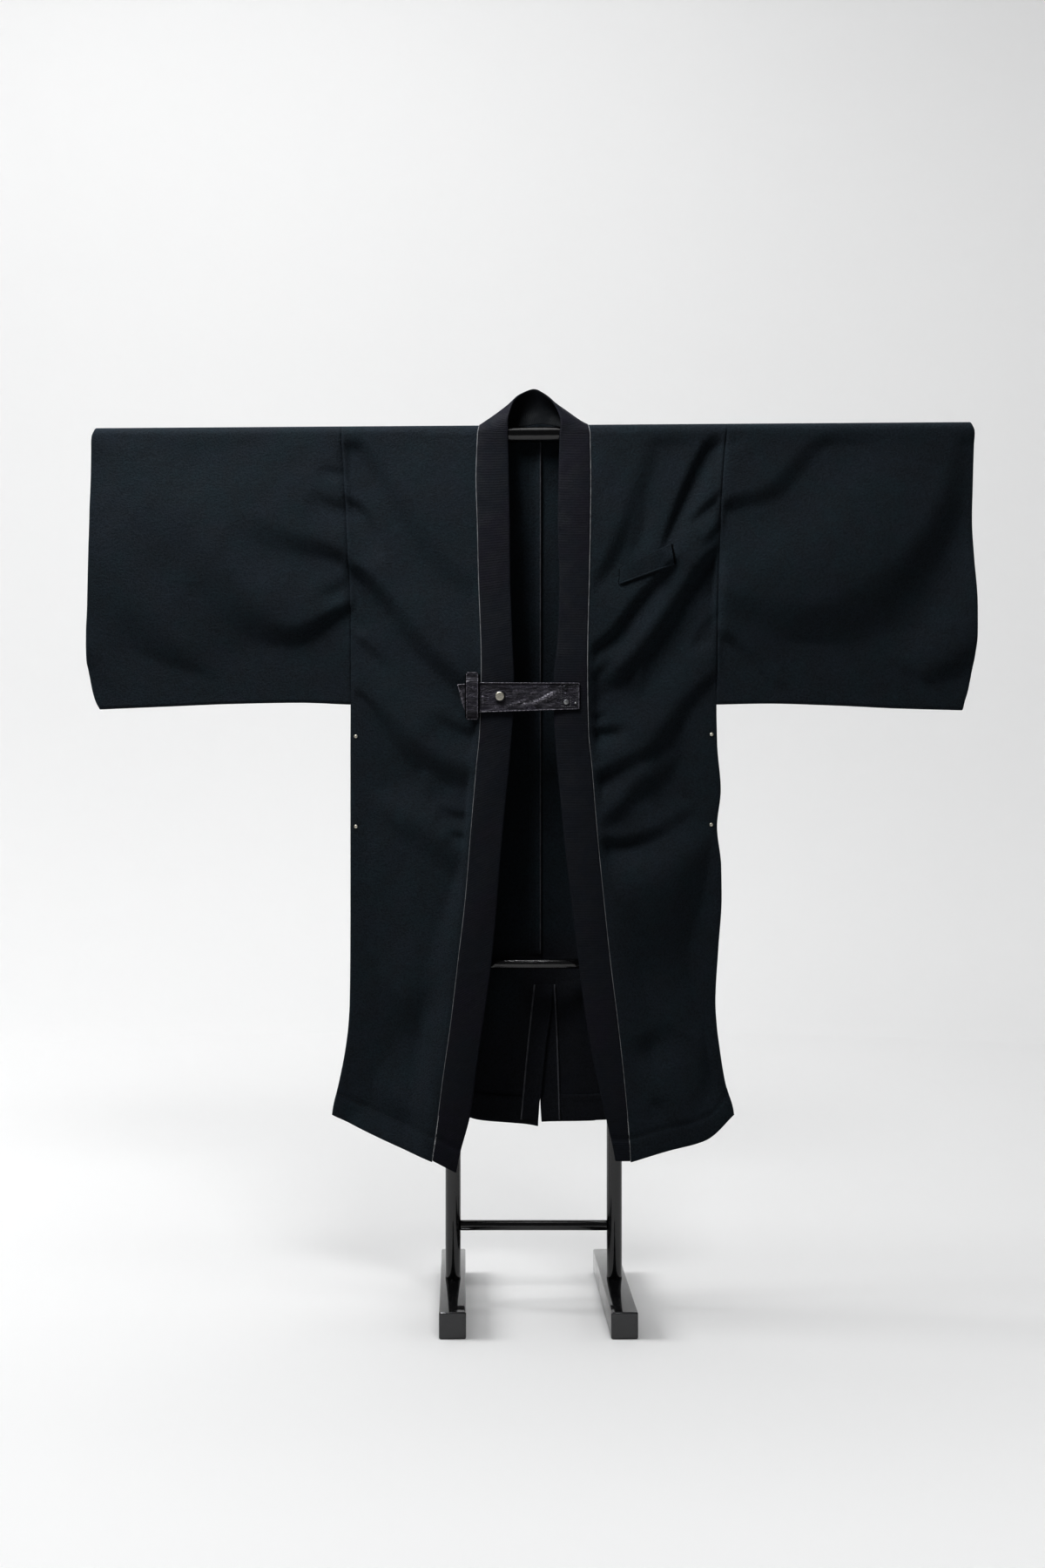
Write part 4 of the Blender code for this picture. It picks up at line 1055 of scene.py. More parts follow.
def band_finish():
    """The band's ribs under a short nap, bluish with violet patches, with painted shade inside the
    neck.
    """
    band = woven("ribbed_band", 0.22, 0.04, 0.4, rgb(0.75, 0.72, 0.95))
    rib = band.effect(ribs, {"Cut": band.cut, "Pitch": 0.0021})["Height"]
    tufts, clouds = band.effect(nap, {"Place": band.place, "Tuft": 0.0022})
    weave = band.effect(threads, {"Cut": band.cut, "Pitch": 0.0009, "Twill": 0.0})["Height"]
    shade = band.times_plus(tufts, 0.4, band.times(rib, 0.35))
    shade = band.times_plus(clouds, 0.25, shade, clamp=True)
    violet = band.ranged(band.clouds(13.0, 3.0, 0.55), 0.45, 0.62)
    light = band.between(violet, rgb(0.0095, 0.0122, 0.0182), rgb(0.0124, 0.0113, 0.0192))
    colour = band.between(shade, rgb(0.0020, 0.0027, 0.0048), light)
    # Painted shade: towards the back, inside the neck, the band turns nearly black
    inside = band.ranged(band.axes(band.place)[1], 0.006, 0.014, 0.0, 0.85)
    creased = band.bump(band.clouds(26.0, 5.0, 0.6, 0.5), 0.0018)
    return band.done(
        band.between(inside, colour, rgb(0.0012, 0.0022, 0.0032)),
        band.ranged(clouds, 0.0, 1.0, 0.66, 0.78),
        band.bump(weave, 0.00006, band.bump(rib, 0.00028, creased)),
    )


def cord_finish(name, dark, light):
    """Twisted cord, bound edges and thread."""
    cord = Recipe(name, {"Specular IOR Level": 0.3, "Sheen Weight": 0.15, "Sheen Roughness": 0.5})
    tufts, clouds = cord.effect(nap, {"Place": cord.place, "Tuft": 0.0012})
    shade = cord.times_plus(clouds, 0.6, cord.times(tufts, 0.4))
    rough = cord.ranged(tufts, 0.0, 1.0, 0.55, 0.75)
    return cord.done(cord.between(shade, dark, light), rough, cord.bump(tufts, 0.0002))


def leather_finish():
    """Black leather with a violet cast, streaked and creased, its crease crests rubbed pale, the pale
    partly a painted highlight.
    """
    constants = {"Specular IOR Level": 0.5, "Specular Tint": rgb(0.92, 0.88, 1.0)}
    constants.update({"Coat Weight": 0.25, "Coat Roughness": 0.16, "Coat IOR": 1.5})
    hide = Recipe("creased_leather", constants)
    drawn_out = hide.stretched(hide.place, (0.32, 1.0, 1.7), (0.0, -0.42, 0.0))
    streaks = hide.noise(drawn_out, 95.0, 5.0, 0.62, 0.8)
    values = {"Vector": hide.place, "Scale": 900.0}
    grain = hide.node("ShaderNodeTexVoronoi", values, feature="DISTANCE_TO_EDGE")["Distance"]
    streaked = hide.ranged(streaks, 0.43, 0.63)
    base = hide.between(streaked, rgb(0.0009, 0.0008, 0.0014), rgb(0.0190, 0.0175, 0.0235))
    # Pale on the crease crests: partly rubbed wear, partly a painted highlight
    rubbed = hide.node("ShaderNodeAttribute", {}, attribute_name="rubbed")["Fac"]
    flaked_rub_and_highlight = hide.times(rubbed, hide.ranged(hide.clouds(420.0, 4.0, 0.7), 0.36, 0.60))
    wrinkles = hide.bump(hide.ranged(hide.off_middle(streaks), 0.0, 0.12, 1.0, 0.0), 0.0010)
    return hide.done(
        hide.between(flaked_rub_and_highlight, base, rgb(0.190, 0.180, 0.200)),
        hide.ranged(streaks, 0.35, 0.65, 0.50, 0.26),
        hide.bump(hide.ranged(grain, 0.0, 0.25), 0.00006, wrinkles),
    )


def edge_finish(name, dark, light, level, low_rough, high_rough):
    """The leather's cut edges: pale and polished, the pale partly a painted highlight, or painted
    black.
    """
    edge = Recipe(name, {"Specular IOR Level": level})
    clouds = edge.clouds(300.0, 4.0, 0.6)
    colour = edge.between(edge.ranged(clouds, 0.35, 0.65), dark, light)
    rough = edge.ranged(clouds, 0.3, 0.7, low_rough, high_rough)
    return edge.done(colour, rough, edge.bump(clouds, 0.00008))


def metal_finish(name, bright, dull, low_rough, high_rough, marks):
    metal = Recipe(name, {"Metallic": 1.0})
    values = {"Place": metal.place, "Patch scale": 320.0, "Amount": marks}
    rubbed, scratches = metal.effect(wear, values)
    clouds = metal.clouds(420.0, 4.0, 0.6)
    colour = metal.between(metal.ranged(clouds, 0.3, 0.7), dull, bright)
    dusty = metal.between(metal.times(rubbed, 0.35), colour, rgb(0.06, 0.055, 0.05))
    rough = metal.ranged(clouds, 0.3, 0.7, low_rough, high_rough)
    return metal.done(dusty, rough, metal.bump(scratches, 0.00004))


def lacquer_finish():
    """Hard polished black lacquer, chipped and dusty, a little greyer on the feet's ends."""
    coat = Recipe("black_lacquer", {"IOR": 1.80, "Specular IOR Level": 0.5})
    values = {"Place": coat.place, "Patch scale": 45.0, "Amount": 0.03}
    rubbed, scratches = coat.effect(wear, values)
    from_middle = coat.maths("ABSOLUTE", coat.axes(coat.place)[1])
    end_grain = coat.ranged(from_middle, FOOT[1] / 2 - 0.0016, FOOT[1] / 2 - 0.0004)
    specks = coat.times(coat.ranged(coat.clouds(900.0, 2.0), 0.70, 0.78), 0.2)
    base = coat.between(rubbed, rgb(0.0035, 0.0035, 0.0042), rgb(0.30, 0.27, 0.22))
    base = coat.between(specks, base, rgb(0.08, 0.08, 0.08))
    greys = rgb(0.022, 0.022, 0.024), rgb(0.032, 0.032, 0.034)
    grey = coat.between(coat.clouds(260.0, 4.0, 0.6), *greys)
    haze = coat.ranged(coat.clouds(22.0, 5.0, 0.6), 0.3, 0.7, 0.03, 0.09)
    ripple = coat.bump(coat.clouds(60.0, 2.0), 0.00004)
    return coat.done(
        coat.between(end_grain, base, grey),
        coat.times_plus(rubbed, 0.4, haze),
        coat.bump(scratches, 0.00003, ripple),
    )


CORDS = (
    # slot, name, dark, light
    ("piping", "piping_cord", rgb(0.075, 0.077, 0.082), rgb(0.190, 0.193, 0.200)),
    ("binding", "bound_edge", rgb(0.030, 0.031, 0.036), rgb(0.070, 0.072, 0.082)),
    ("thread", "black_thread", rgb(0.004, 0.004, 0.005), rgb(0.012, 0.012, 0.014)),
)
EDGES = (
    # slot, name, dark, light, specular level, least and most rough
    # The polished beads are paler than the leather partly from rubbing, partly as painted highlight
    # lines
    ("burnished", "burnished_edge", rgb(0.040, 0.037, 0.045), rgb(0.120, 0.112, 0.130), 0.8, 0.2, 0.34),
    ("painted", "painted_edge", rgb(0.0008, 0.0008, 0.001), rgb(0.002, 0.002, 0.003), 0.1, 0.7, 0.9),
)
METALS = (
    # slot, name, bright, dull, least and most rough, marks
    ("pale_metal", "rubbed_metal", rgb(0.50, 0.50, 0.50), rgb(0.22, 0.22, 0.23), 0.30, 0.45, 0.2),
    ("snap", "snap_plate", rgb(0.78, 0.75, 0.67), rgb(0.62, 0.59, 0.50), 0.28, 0.42, 0.1),
    ("dark_metal", "blackened_metal", rgb(0.10, 0.10, 0.11), rgb(0.03, 0.03, 0.034), 0.3, 0.5, 0.3),
)
FINISH = {"cloth": wool_finish(), "band": band_finish(), "leather": leather_finish()}
for recipe, rows in ((cord_finish, CORDS), (edge_finish, EDGES), (metal_finish, METALS)):
    for slot, *row in rows:
        FINISH[slot] = recipe(*row)
FINISH["lacquer"] = lacquer_finish()


# ---------------------------------------------------------------- cloth pieces

BODY = {}
HEM_ROWS = 8
INWARDS = {RIGHT: np.array((1.0, 0.0, 0.0)), LEFT: np.array((-1.0, 0.0, 0.0))}


def body_cloth(side):
    """One half of the body, cut in one from front hem over the shoulder to back hem."""
    grid, missing = body_grid(side)
    BODY[side] = grid, missing
    sewn = HEM_ROWS - 1
    grooved = ((sewn, 1.0), (slice(sewn), -0.4), (-HEM_ROWS, -0.4), (slice(-sewn, None), 0.2))
    for rows, share in grooved:
        grid[rows, :, 1] += share * HEM_GROOVE
    wide = FRONT_COLUMNS + 1
    main = turned_in(grid[:, :wide], HEM_ROWS, TO_FRONT)
    added = len(main) - len(grid)
    neck = np.concatenate((np.repeat(grid[:1, wide:], added, axis=0), grid[:, wide:]))
    whole = np.concatenate((main, neck), axis=1)
    whole = turned_in(whole[::-1], HEM_ROWS, TO_BACK)[::-1]
    skipped = np.zeros(whole.shape[:2], bool)
    skipped[: missing + added, wide:] = True
    return cloth_piece(
        "body_cloth_" + hand(side),
        whole,
        CLOTH,
        FINISH["cloth"],
        (added + FRONT_ROWS // 2, FRONT_COLUMNS // 2),
        cut=cut_of(whole, added + FRONT_ROWS + 1 + TOP_STEP),
        skipped=skipped,
    )


SLEEVE_SHARES = np.concatenate(([0.0, 0.0018, 0.0037, 0.0060, 0.0090], np.linspace(0.013, 1.0, 84)))
SLEEVE_LOW_STEPS = (0.0012, 0.003, 0.0055, 0.009, 0.014, 0.019, 0.0245)
SLEEVE_HEIGHT = ROD_Z - SLEEVE_BOTTOM[0][1]
CUFF_ROWS = 6


def sleeve_wall(side, share, z, low, face):
    x = side * mix(side_x[side](z) + GAP, cuff_x[side](z), share)
    rise = (z - low) / (ROD_Z - low)
    arm = depth_side(np.maximum(z, ARMHOLE_LOW))
    belly = SLEEVE_BELLY * np.sin(math.pi * share) * np.sin(math.pi * rise) ** 2
    base = mix(arm, puff(z - low), smooth(share)) + belly
    panel = ("sleeve_" if face < 0 else "sleeve_back_") + hand(side)
    edge = np.where(share < 0.5, np.abs(x) - side_x[side](z), 1.0)
    drop = fold_depth(panel, x, z) + slack(x, z, 1.3 + side * 0.7 + face * 0.4)
    drop = drop * smooth((z - low) / END_FADE) * smooth((ROD_Z - z) / TOP_FADE)
    drop = mix(shoulder_drop(side, face, z), drop, smooth(edge / ARMHOLE_BLEND))
    folded = no_nearer(base - drop, LEAST_DEPTH)
    depth = mix(shoulder_depth(side, face, z), folded, smooth(edge / SEAM_FADE)) - ditch(z, edge)
    return stacked(x, face * depth, z)


def sleeve_cloth(side):
    """A tube of cloth over the rod, closed along the bottom, its cuff turned inside."""
    share = SLEEVE_SHARES
    foot = mix(SLEEVE_BOTTOM[0][0], SLEEVE_BOTTOM[-1][0], share)
    low = sleeve_bottom[side](foot) + CLOTH
    heights = [*SLEEVE_LOW_STEPS, *np.arange(0.030, SLEEVE_HEIGHT - 0.003, 0.005), SLEEVE_HEIGHT]
    z = mix(low, ROD_Z, (np.array(heights) / SLEEVE_HEIGHT)[:, None])
    front, back = (sleeve_wall(side, share, z, low, face) for face in (-1, 1))
    degrees = np.array(TURN_STEPS, float)[:, None]
    top_x = front[-1, :, 0] - side * CUFF_TUCK * smooth((share - 0.955) / 0.045)
    over = round_rod(mix(front[-1, :, 0], top_x, np.cos(np.radians(degrees))), degrees)
    bottom = stacked(front[0, :, 0], 0.0, low)[None]
    ring = np.concatenate((bottom, front, over, back[::-1], bottom))
    from_cuff = ring.transpose(1, 0, 2)[::-1]
    cuff = from_cuff[0]
    outward = stacked(0.0, cuff[:, 1] / 0.02, (cuff[:, 2] - 1.155) / 0.25)
    turned = turned_in(from_cuff, CUFF_ROWS, outward)
    turned[:, [0, -1]] = 0.5 * (turned[:, :1] + turned[:, -1:])
    whole = turned.transpose(1, 0, 2)
    return cloth_piece(
        "sleeve_cloth_" + hand(side),
        whole,
        CLOTH,
        FINISH["cloth"],
        (len(front) // 2, (len(share) - 1) // 2),
        cut=cut_of(whole, len(front) + 1 + TOP_STEP),
        welded=True,
    )


def seam_line(side):
    """Collar seam from front hem to centre back: points, outer side, and place round the neck."""
    grid, missing = BODY[side]
    front = grid[: FRONT_ROWS + 1 + TOP_STEP + 1, FRONT_COLUMNS]
    neck = grid[missing, FRONT_COLUMNS + 1 :]
    degrees = np.concatenate((np.full(FRONT_ROWS + 1, 90.0), TURN_STEPS[: TOP_STEP + 1]))
    share = np.linspace(0, 1, NECK_COLUMNS + 1)[1:]
    turn = np.radians(np.concatenate((degrees, -mix(neck_turn(share), 60.0, 0.4))))
    wall = stacked(0.0, -np.sin(turn), np.cos(turn))
    steps = np.concatenate(((90 - degrees) / 30 - 1, 2 + 5 * share))
    return np.concatenate((front, neck)), wall, np.maximum(steps + 1, 0) / 16


BAND_COLUMNS = 14
BAND_WIDTH = 0.055
BEHIND_ROD_Y = -0.0140


def band_half(side):
    """The band's inner face from one front hem to the centre back."""
    points, wall, around = seam_line(side)
    row = np.arange(len(points))
    z = points[:, 2] - COLLAR_DROP[side] * np.clip(1 - row / FRONT_ROWS, 0, 1)
    behind_rod = smooth((z - 1.318) / 0.016)
    y = points[:, 1] + 0.0005
    ends = stacked(side * free_x[side](z), mix(y, np.minimum(y, BEHIND_ROD_Y), behind_rod), z)
    tenth = np.where(side < 0, around, 1 - around) * 10
    on_neck = (row > FRONT_ROWS)[:, None]
    ends = np.where(on_neck, stacked(*(line(tenth) for line in neck_edge)), ends)
    bulge = np.where(row > FRONT_ROWS, COLLAR_BULGE * np.sin(math.pi * around) ** 2, 0.0)
    rolled = 0.0011 * (1 - smooth(around / 0.1))
    start = points + np.where(on_neck, np.array((0.0, 0.0, 1.0)), INWARDS[side]) * GAP
    across = ends - start
    face = unit(np.cross(across, np.gradient(points, axis=0)))
    face *= np.where((face * wall).sum(-1, keepdims=True) < 0, -1.0, 1.0)
    share = np.linspace(0, 1, BAND_COLUMNS + 1)[None, :, None]
    swell = np.sin(math.pi * share) * (bulge + rolled)[:, None, None]
    uneven = slack(start[:, None, 0] * 3, z[:, None], 2.0)[..., None] * np.sin(math.pi * share) * 0.9
    return start[:, None] + across[:, None] * share + face[:, None] * (swell + uneven)


def joined(right, left, middle):
    """Both halves of a line or grid in one, from the wearer's right to the left."""
    return np.concatenate((right[:-1], middle, left[-2::-1]))


def band_cloth():
    """The band along both fronts and round the neck, its free edge a folded one."""
    right, left = band_half(RIGHT), band_half(LEFT)
    whole = joined(right, left, 0.5 * (right[-1:] + left[-1:]))
    along = lengths_along(whole[:, BAND_COLUMNS // 2])
    across = np.linspace(0, BAND_WIDTH, BAND_COLUMNS + 1)
    cut = stacked(across[None, :], along[:, None], 0.0)[..., :2]
    front = FRONT_ROWS // 2, 5
    return cloth_piece("band_cloth", whole, BAND_WALL, FINISH["band"], front, rim=0.0012, cut=cut)


def piping_half(side):
    """The piping's path beside the collar seam, sunk a little lower down the fronts."""
    points, wall, around = seam_line(side)
    behind = (around > 0.19)[:, None]
    off = np.where(behind, np.array((0.0, 0.0, 0.4)), INWARDS[side])
    sunk = 0.0004 * smooth((0.950 - points[:, 2:]) / 0.06) * ~behind
    return points + wall * (CLOTH + 0.0005 - sunk) - off * PIPING_RADIUS * 0.7


def piping():
    """The cord in the collar seam, thinner down the fronts."""
    right, left = piping_half(RIGHT), piping_half(LEFT)
    route = joined(right, left, 0.5 * (right[-1:] + left[-1:]))
    shares = mix(1.0, 0.72, smooth((0.955 - route[:, 2]) / 0.05))
    return tube("piping_cord", route, PIPING_RADIUS, FINISH["piping"], 12, shares)


def inside_strip(name, side, left_x, right_x, heights, columns, curl):
    """A strip laid on the inside of the back, between two lines of x at each height."""
    z = heights[:, None]
    share = np.linspace(0, 1, columns + 1)[None, :]
    x = mix(left_x(z), right_x(z), share)
    y = back_depth(side, x, np.broadcast_to(z, x.shape)) - SEATED - curl(share, z)
    grid = stacked(x, y, z)
    front = (len(z) - 1) // 2, columns // 2
    return cloth_piece(name, grid, FACING_WALL, FINISH["cloth"], front, rim=0.0005), grid


def bound(name, grid, radius, proud):
    """The binding along a strip's last edge."""
    edge = grid[:, -1] + np.array((0.0, -proud, 0.0))
    return tube(name, edge, radius, FINISH["binding"])


def vent_facing(side):
    """The facing down one side of the vent, rolled at the slit on the right."""
    low, high = FACING_Z

    def slit(z):
        closed = 0.0030 * smooth((z - 0.300) / 0.030) if side < 0 else 0.0
        return centre_x[side](z) + side * 0.0012 + closed

    def lifting(share, z):
        proud = 0.0008 * share + 0.0012 * smooth((0.33 - z) / 0.06) * share
        over_hem = 0.0009 * smooth((0.3185 - z) / 0.0045)
        rolled = SLIT_ROLL * (1 - share) ** 2 * smooth((high - z) / 0.03) * smooth((z - 0.290) / 0.04)
        return proud + over_hem + (rolled if side < 0 else 0.0)

    name = "vent_facing_cloth_" + hand(side)
    heights = np.linspace(low, high, 47)
    piece, grid = inside_strip(name, side, slit, facing_x[side], heights, 12, lifting)
    return piece, bound("vent_binding_" + hand(side), grid, 0.00135, 0.00075)


def back_allowance():
    """The pressed allowance of the centre back seam, with a bound edge that stands proud."""

    def lifting(share, _):
        return 0.0030 * smooth((share - 0.45) / 0.55)

    left_x, right_x = (lambda z, x=x: x + 0 * z for x in ALLOWANCE_X)
    heights = np.linspace(*ALLOWANCE_Z, 131)
    piece, grid = inside_strip("centre_back_allowance", RIGHT, left_x, right_x, heights, 10, lifting)
    return piece, bound("centre_back_binding", grid, 0.0011, 0.0008)


def outside_front(side, x, z, proud=0.0):
    return stacked(x, -front_depth(side, x, z) - CLOTH - proud, z)


def chest_welt():
    """The slanted welt of the chest pocket: sewn down below and at its ends, loose above."""
    low_in, low_out, high_out, high_in = (np.array(corner) for corner in WELT_CORNERS)
    along = np.linspace(0, 1, 65)[None, :, None]
    rise = np.linspace(0, 1, 21)[:, None, None]
    spots = mix(mix(low_in, low_out, along), mix(high_in, high_out, along), rise)
    along, rise = along[..., 0], rise[..., 0]
    loose = 0.0056 * np.sin(math.pi * np.clip(along, 0.02, 0.98)) ** 0.5 * rise**1.1
    grid = outside_front(LEFT, spots[..., 0], spots[..., 1], 0.0003)
    grid[..., 1] -= loose + 0.0006 * np.sin(9 * along) * rise
    return cloth_piece("chest_welt_cloth", grid, WELT_WALL, FINISH["cloth"], (10, 32), rim=0.0006)


def welt_edge(start, end, proud, low, high, count, off):
    """Points on the front along one edge of the welt, between two shares of its length."""
    corners = np.array(WELT_CORNERS[start]), np.array(WELT_CORNERS[end])
    run = mix(*corners, np.linspace(low, high, count)[:, None])
    return outside_front(LEFT, run[:, 0], run[:, 1], proud) + np.array(off)


def welt_seams():
    """The ridges beside the welt: its lower seam and its two sewn ends."""
    rows = (
        # name, radius, then the edge: corners, proud, shares of its length, points, off
        ("lower", 0.0015, 0, 1, 0.0024, 0.03, 1.0, 24, (0, 0, 0.0006)),
        ("outer", 0.0012, 1, 2, 0.0012, -0.02, 0.97, 12, (-0.0014, 0, 0)),
        ("inner", 0.0011, 0, 3, 0.0010, -0.05, 0.97, 12, (0.0014, 0, 0)),
    )
    for name, radius, *edge in rows:
        yield tube("chest_welt_seam_" + name, welt_edge(*edge), radius, FINISH["cloth"])


def welt_stitches():
    """Two short rows of close stitches over each end of the welt."""
    # Two corners and how far off their line
    ends = ((0, 3, -0.0008), (0, 3, 0.0044), (1, 2, 0.0010), (1, 2, 0.0022))
    lines = [welt_edge(start, end, 0.0012, 0.0, 1.0, 12, (off, 0, 0)) for start, end, off in ends]
    return stitched("chest_welt_stitches", lines, FINISH["painted"], 0.0030, 0.0019, 0.0005)


def hem_stitches():
    """The line of stitches that holds each turned hem, on the outside of the cloth."""
    out = np.array((0.0, CLOTH + 0.0001, 0.0))
    lines = []
    for side in (RIGHT, LEFT):
        grid, _ = BODY[side]
        lines.append(grid[HEM_ROWS - 1, 1:FRONT_COLUMNS] - out)
        lines.append(grid[-HEM_ROWS, 1:-2] + out)
    return stitched("hem_stitches", lines, FINISH["thread"])


# ---------------------------------------------------------------- strap, snap and rivets

strap_low, strap_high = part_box("closure_strap")
keeper_low, keeper_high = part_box("strap_keeper")


def strap_back(x):
    """Back face of the strap, which tips off the cloth towards its free end."""
    share = (STRAP[0][0] - x) / (STRAP[0][0] - STRAP[4][0])
    return mix(strap_high.y, strap_low.y + LEATHER, share)


def strap_front(x, z, proud=0.0):
    return stacked(x, strap_back(x) - LEATHER - proud, z)


def on_strap(x, z, sunk):
    """A seat on the strap's front, a little sunk in it."""
    return Vector((x + SHIFT, float(strap_back(x)) - LEATHER - sunk, z))


def ridge(x, z, start, end, width, height):
    """A raised crease of leather along a line, tapering at both ends."""
    start, end = np.array(start), np.array(end)
    run = end - start
    share = np.clip(((x - start[0]) * run[0] + (z - start[1]) * run[1]) / (run @ run), 0, 1)
    away = np.hypot(x - start[0] - run[0] * share, z - start[1] - run[1] * share)
    broken = 0.72 + 0.28 * np.sin(37 * share + 900 * away)
    tapered = np.sin(math.pi * np.clip(share, 0.08, 0.92))
    return height * broken * np.exp(-((away / width) ** 2)) * tapered


STRAP_CREASES = (
    # start, end, half width, height
    ((-0.0065, 0.9416), (0.0170, 0.9530), 0.0023, 0.0021),
    ((0.0100, 0.9480), (0.0370, 0.9640), 0.0029, 0.0028),
    ((0.0040, 0.9560), (0.0230, 0.9660), 0.0013, 0.0010),
    ((0.0200, 0.9490), (0.0370, 0.9560), 0.0013, 0.0010),
    ((-0.0050, 0.9450), (0.0120, 0.9440), 0.0012, 0.0011),
    ((-0.0340, 0.9425), (-0.0060, 0.9530), 0.0014, 0.0014),
    ((-0.0240, 0.9380), (-0.0060, 0.9470), 0.0013, 0.0013),
    ((-0.0500, 0.9380), (-0.0240, 0.9445), 0.0014, 0.0012),
    ((-0.0160, 0.9400), (0.0020, 0.9490), 0.0012, 0.0012),
    ((-0.0420, 0.9600), (-0.0120, 0.9650), 0.0014, 0.0008),
    ((-0.0140, 0.9550), (0.0120, 0.9650), 0.0013, 0.0009),
    ((0.0140, 0.9400), (0.0380, 0.9445), 0.0014, 0.0010),
    ((-0.0800, 0.9380), (-0.0780, 0.9700), 0.0015, 0.0009),
    ((-0.0720, 0.9370), (-0.0500, 0.9400), 0.0015, 0.0009),
    ((-0.1170, 0.9700), (-0.1080, 0.9360), 0.0016, 0.0015),
    ((-0.1160, 0.9620), (-0.1060, 0.9640), 0.0014, 0.0011),
)
RUB_AND_HIGHLIGHT_HEIGHT = 0.0021


def strap_leather():
    """The strap: creased, flat where it is sewn down, its crease crests marked for pale rubbing and
    painted highlight.
    """
    top = np.array((STRAP[0], STRAP[5], STRAP[4]))
    bottom = np.array((STRAP[1], STRAP[2], STRAP[3]))
    share = np.linspace(0, 1, 261)
    upper, lower = (
        np.stack([np.interp(share, (0.0, 0.82, 1.0), line[:, k]) for k in (0, 1)], axis=-1)
        for line in (top, bottom)
    )
    rise = np.linspace(0, 1, 65)[:, None, None]
    spots = mix(lower[None], upper[None], rise)
    x, z = spots[..., 0], spots[..., 1]
    creased = sum(ridge(x, z, *row) for row in STRAP_CREASES)
    held = smooth((0.043 - x) / 0.010)
    rolled = 0.0005 * np.sin(12 * x / 0.03) * np.sin(math.pi * rise[..., 0]) * held
    grid = stacked(x, strap_back(x) - np.maximum(creased * mix(0.15, 1.0, held) + rolled, 0.0), z)
    piece = cloth_piece("strap_leather", grid, LEATHER, FINISH["leather"], (32, 130), rim=0.0008)
    # The mark lightens the crests: partly rubbed wear, partly a painted highlight
    rubbed = piece.data.attributes.new("rubbed", "FLOAT", "POINT")
    shares = np.clip(creased / RUB_AND_HIGHLIGHT_HEIGHT, 0, 1).astype(np.float32)
    rubbed.data.foreach_set("value", shares.reshape(-1))
    return piece


BEAD_RADIUS = 0.0008
STRAP_INSET = 0.0006
INSET_TO = ((-1, -1), (-1, 1), (0, 1), (1, 1), (1, -1), (0, -1))


def strap_edges():
    """The strap's turned edges, a fine rounded bead all the way round, pale partly as a painted
    highlight line.
    """
    corners = [(x + a * STRAP_INSET, z + b * STRAP_INSET) for (x, z), (a, b) in zip(STRAP, INSET_TO)]
    for index, (start, end) in enumerate(zip(corners, corners[1:] + corners[:1])):
        run = np.linspace(start, end, 24)
        line = strap_front(run[:, 0], run[:, 1], 0.0006)
        yield tube("strap_edge_%d" % index, line, BEAD_RADIUS, FINISH["burnished"])


def keeper_edges():
    """The keeper's edges: pale polished beads along its face and ends, partly painted highlight lines,
    and black tubes down its cut sides, partly painted black edges and partly painted shadow beside the
    keeper.
    """
    z = np.linspace(KEEPER_Z[0] + 0.003, KEEPER_Z[3] - 0.003, 48)
    for index, (x, out) in enumerate(zip(KEEPER_X, (-1, 1))):
        # Each side: a pale bead, partly a painted highlight line, and a black tube, partly painted edge
        # and partly painted shadow in the gap
        bright = keeper_front(np.full(48, x - out * 0.0009), z, 0.0001)
        dark = keeper_front(np.full(48, x + out * 0.0008), z, -0.0012)
        yield tube("keeper_edge_%d" % index, bright, BEAD_RADIUS, FINISH["burnished"])
        yield tube("keeper_side_%d" % index, dark, 0.0010, FINISH["painted"])
    x = np.linspace(KEEPER_X[0] + 0.0018, KEEPER_X[1] - 0.0018, 12)
    for index, z in enumerate((KEEPER_Z[0] + 0.0010, KEEPER_Z[3] - 0.0010)):
        line = keeper_front(x, np.full(12, z), -0.0004)
        yield tube("keeper_end_%d" % index, line, BEAD_RADIUS, FINISH["burnished"])


def strap_stitches():
    """The frame of stitches that sews the strap's end down, and the rivet's small square."""
    frames = (
        ((0.0425, 0.9395), (0.0680, 0.9385), (0.0680, 0.9740), (0.0425, 0.9740)),
        ((0.0440, 0.9400), (0.0575, 0.9400), (0.0575, 0.9535), (0.0440, 0.9535)),
    )
    lines = []
    for corners in frames:
        for start, end in zip(corners, corners[1:] + corners[:1]):
            run = np.linspace(start, end, 8)
            lines.append(strap_front(run[:, 0], run[:, 1], 0.0001))
    return stitched("strap_stitches", lines, FINISH["piping"], 0.0028, 0.0020, 0.0003)


def keeper_depth(z):
    """Back of the keeper at some heights: down on the cloth at its ends, bridged over the strap."""
    seat, bridge = keeper_high.y, keeper_low.y + KEEPER_WALL
    low, step_low, step_high, high = KEEPER_Z
    key_z = (low, step_low - 0.001, step_low + 0.0045, step_high - 0.0020, step_high + 0.0006, high)
    fine = np.linspace(low, high, 61)
    y = np.interp(fine, key_z, (seat, seat, bridge, bridge, seat, seat))
    for _ in range(3):
        y[1:-1] = 0.25 * y[:-2] + 0.5 * y[1:-1] + 0.25 * y[2:]
    return np.interp(z, fine, y)


def keeper_front(x, z, proud):
    return stacked(x, keeper_depth(z) - KEEPER_WALL - proud, z)


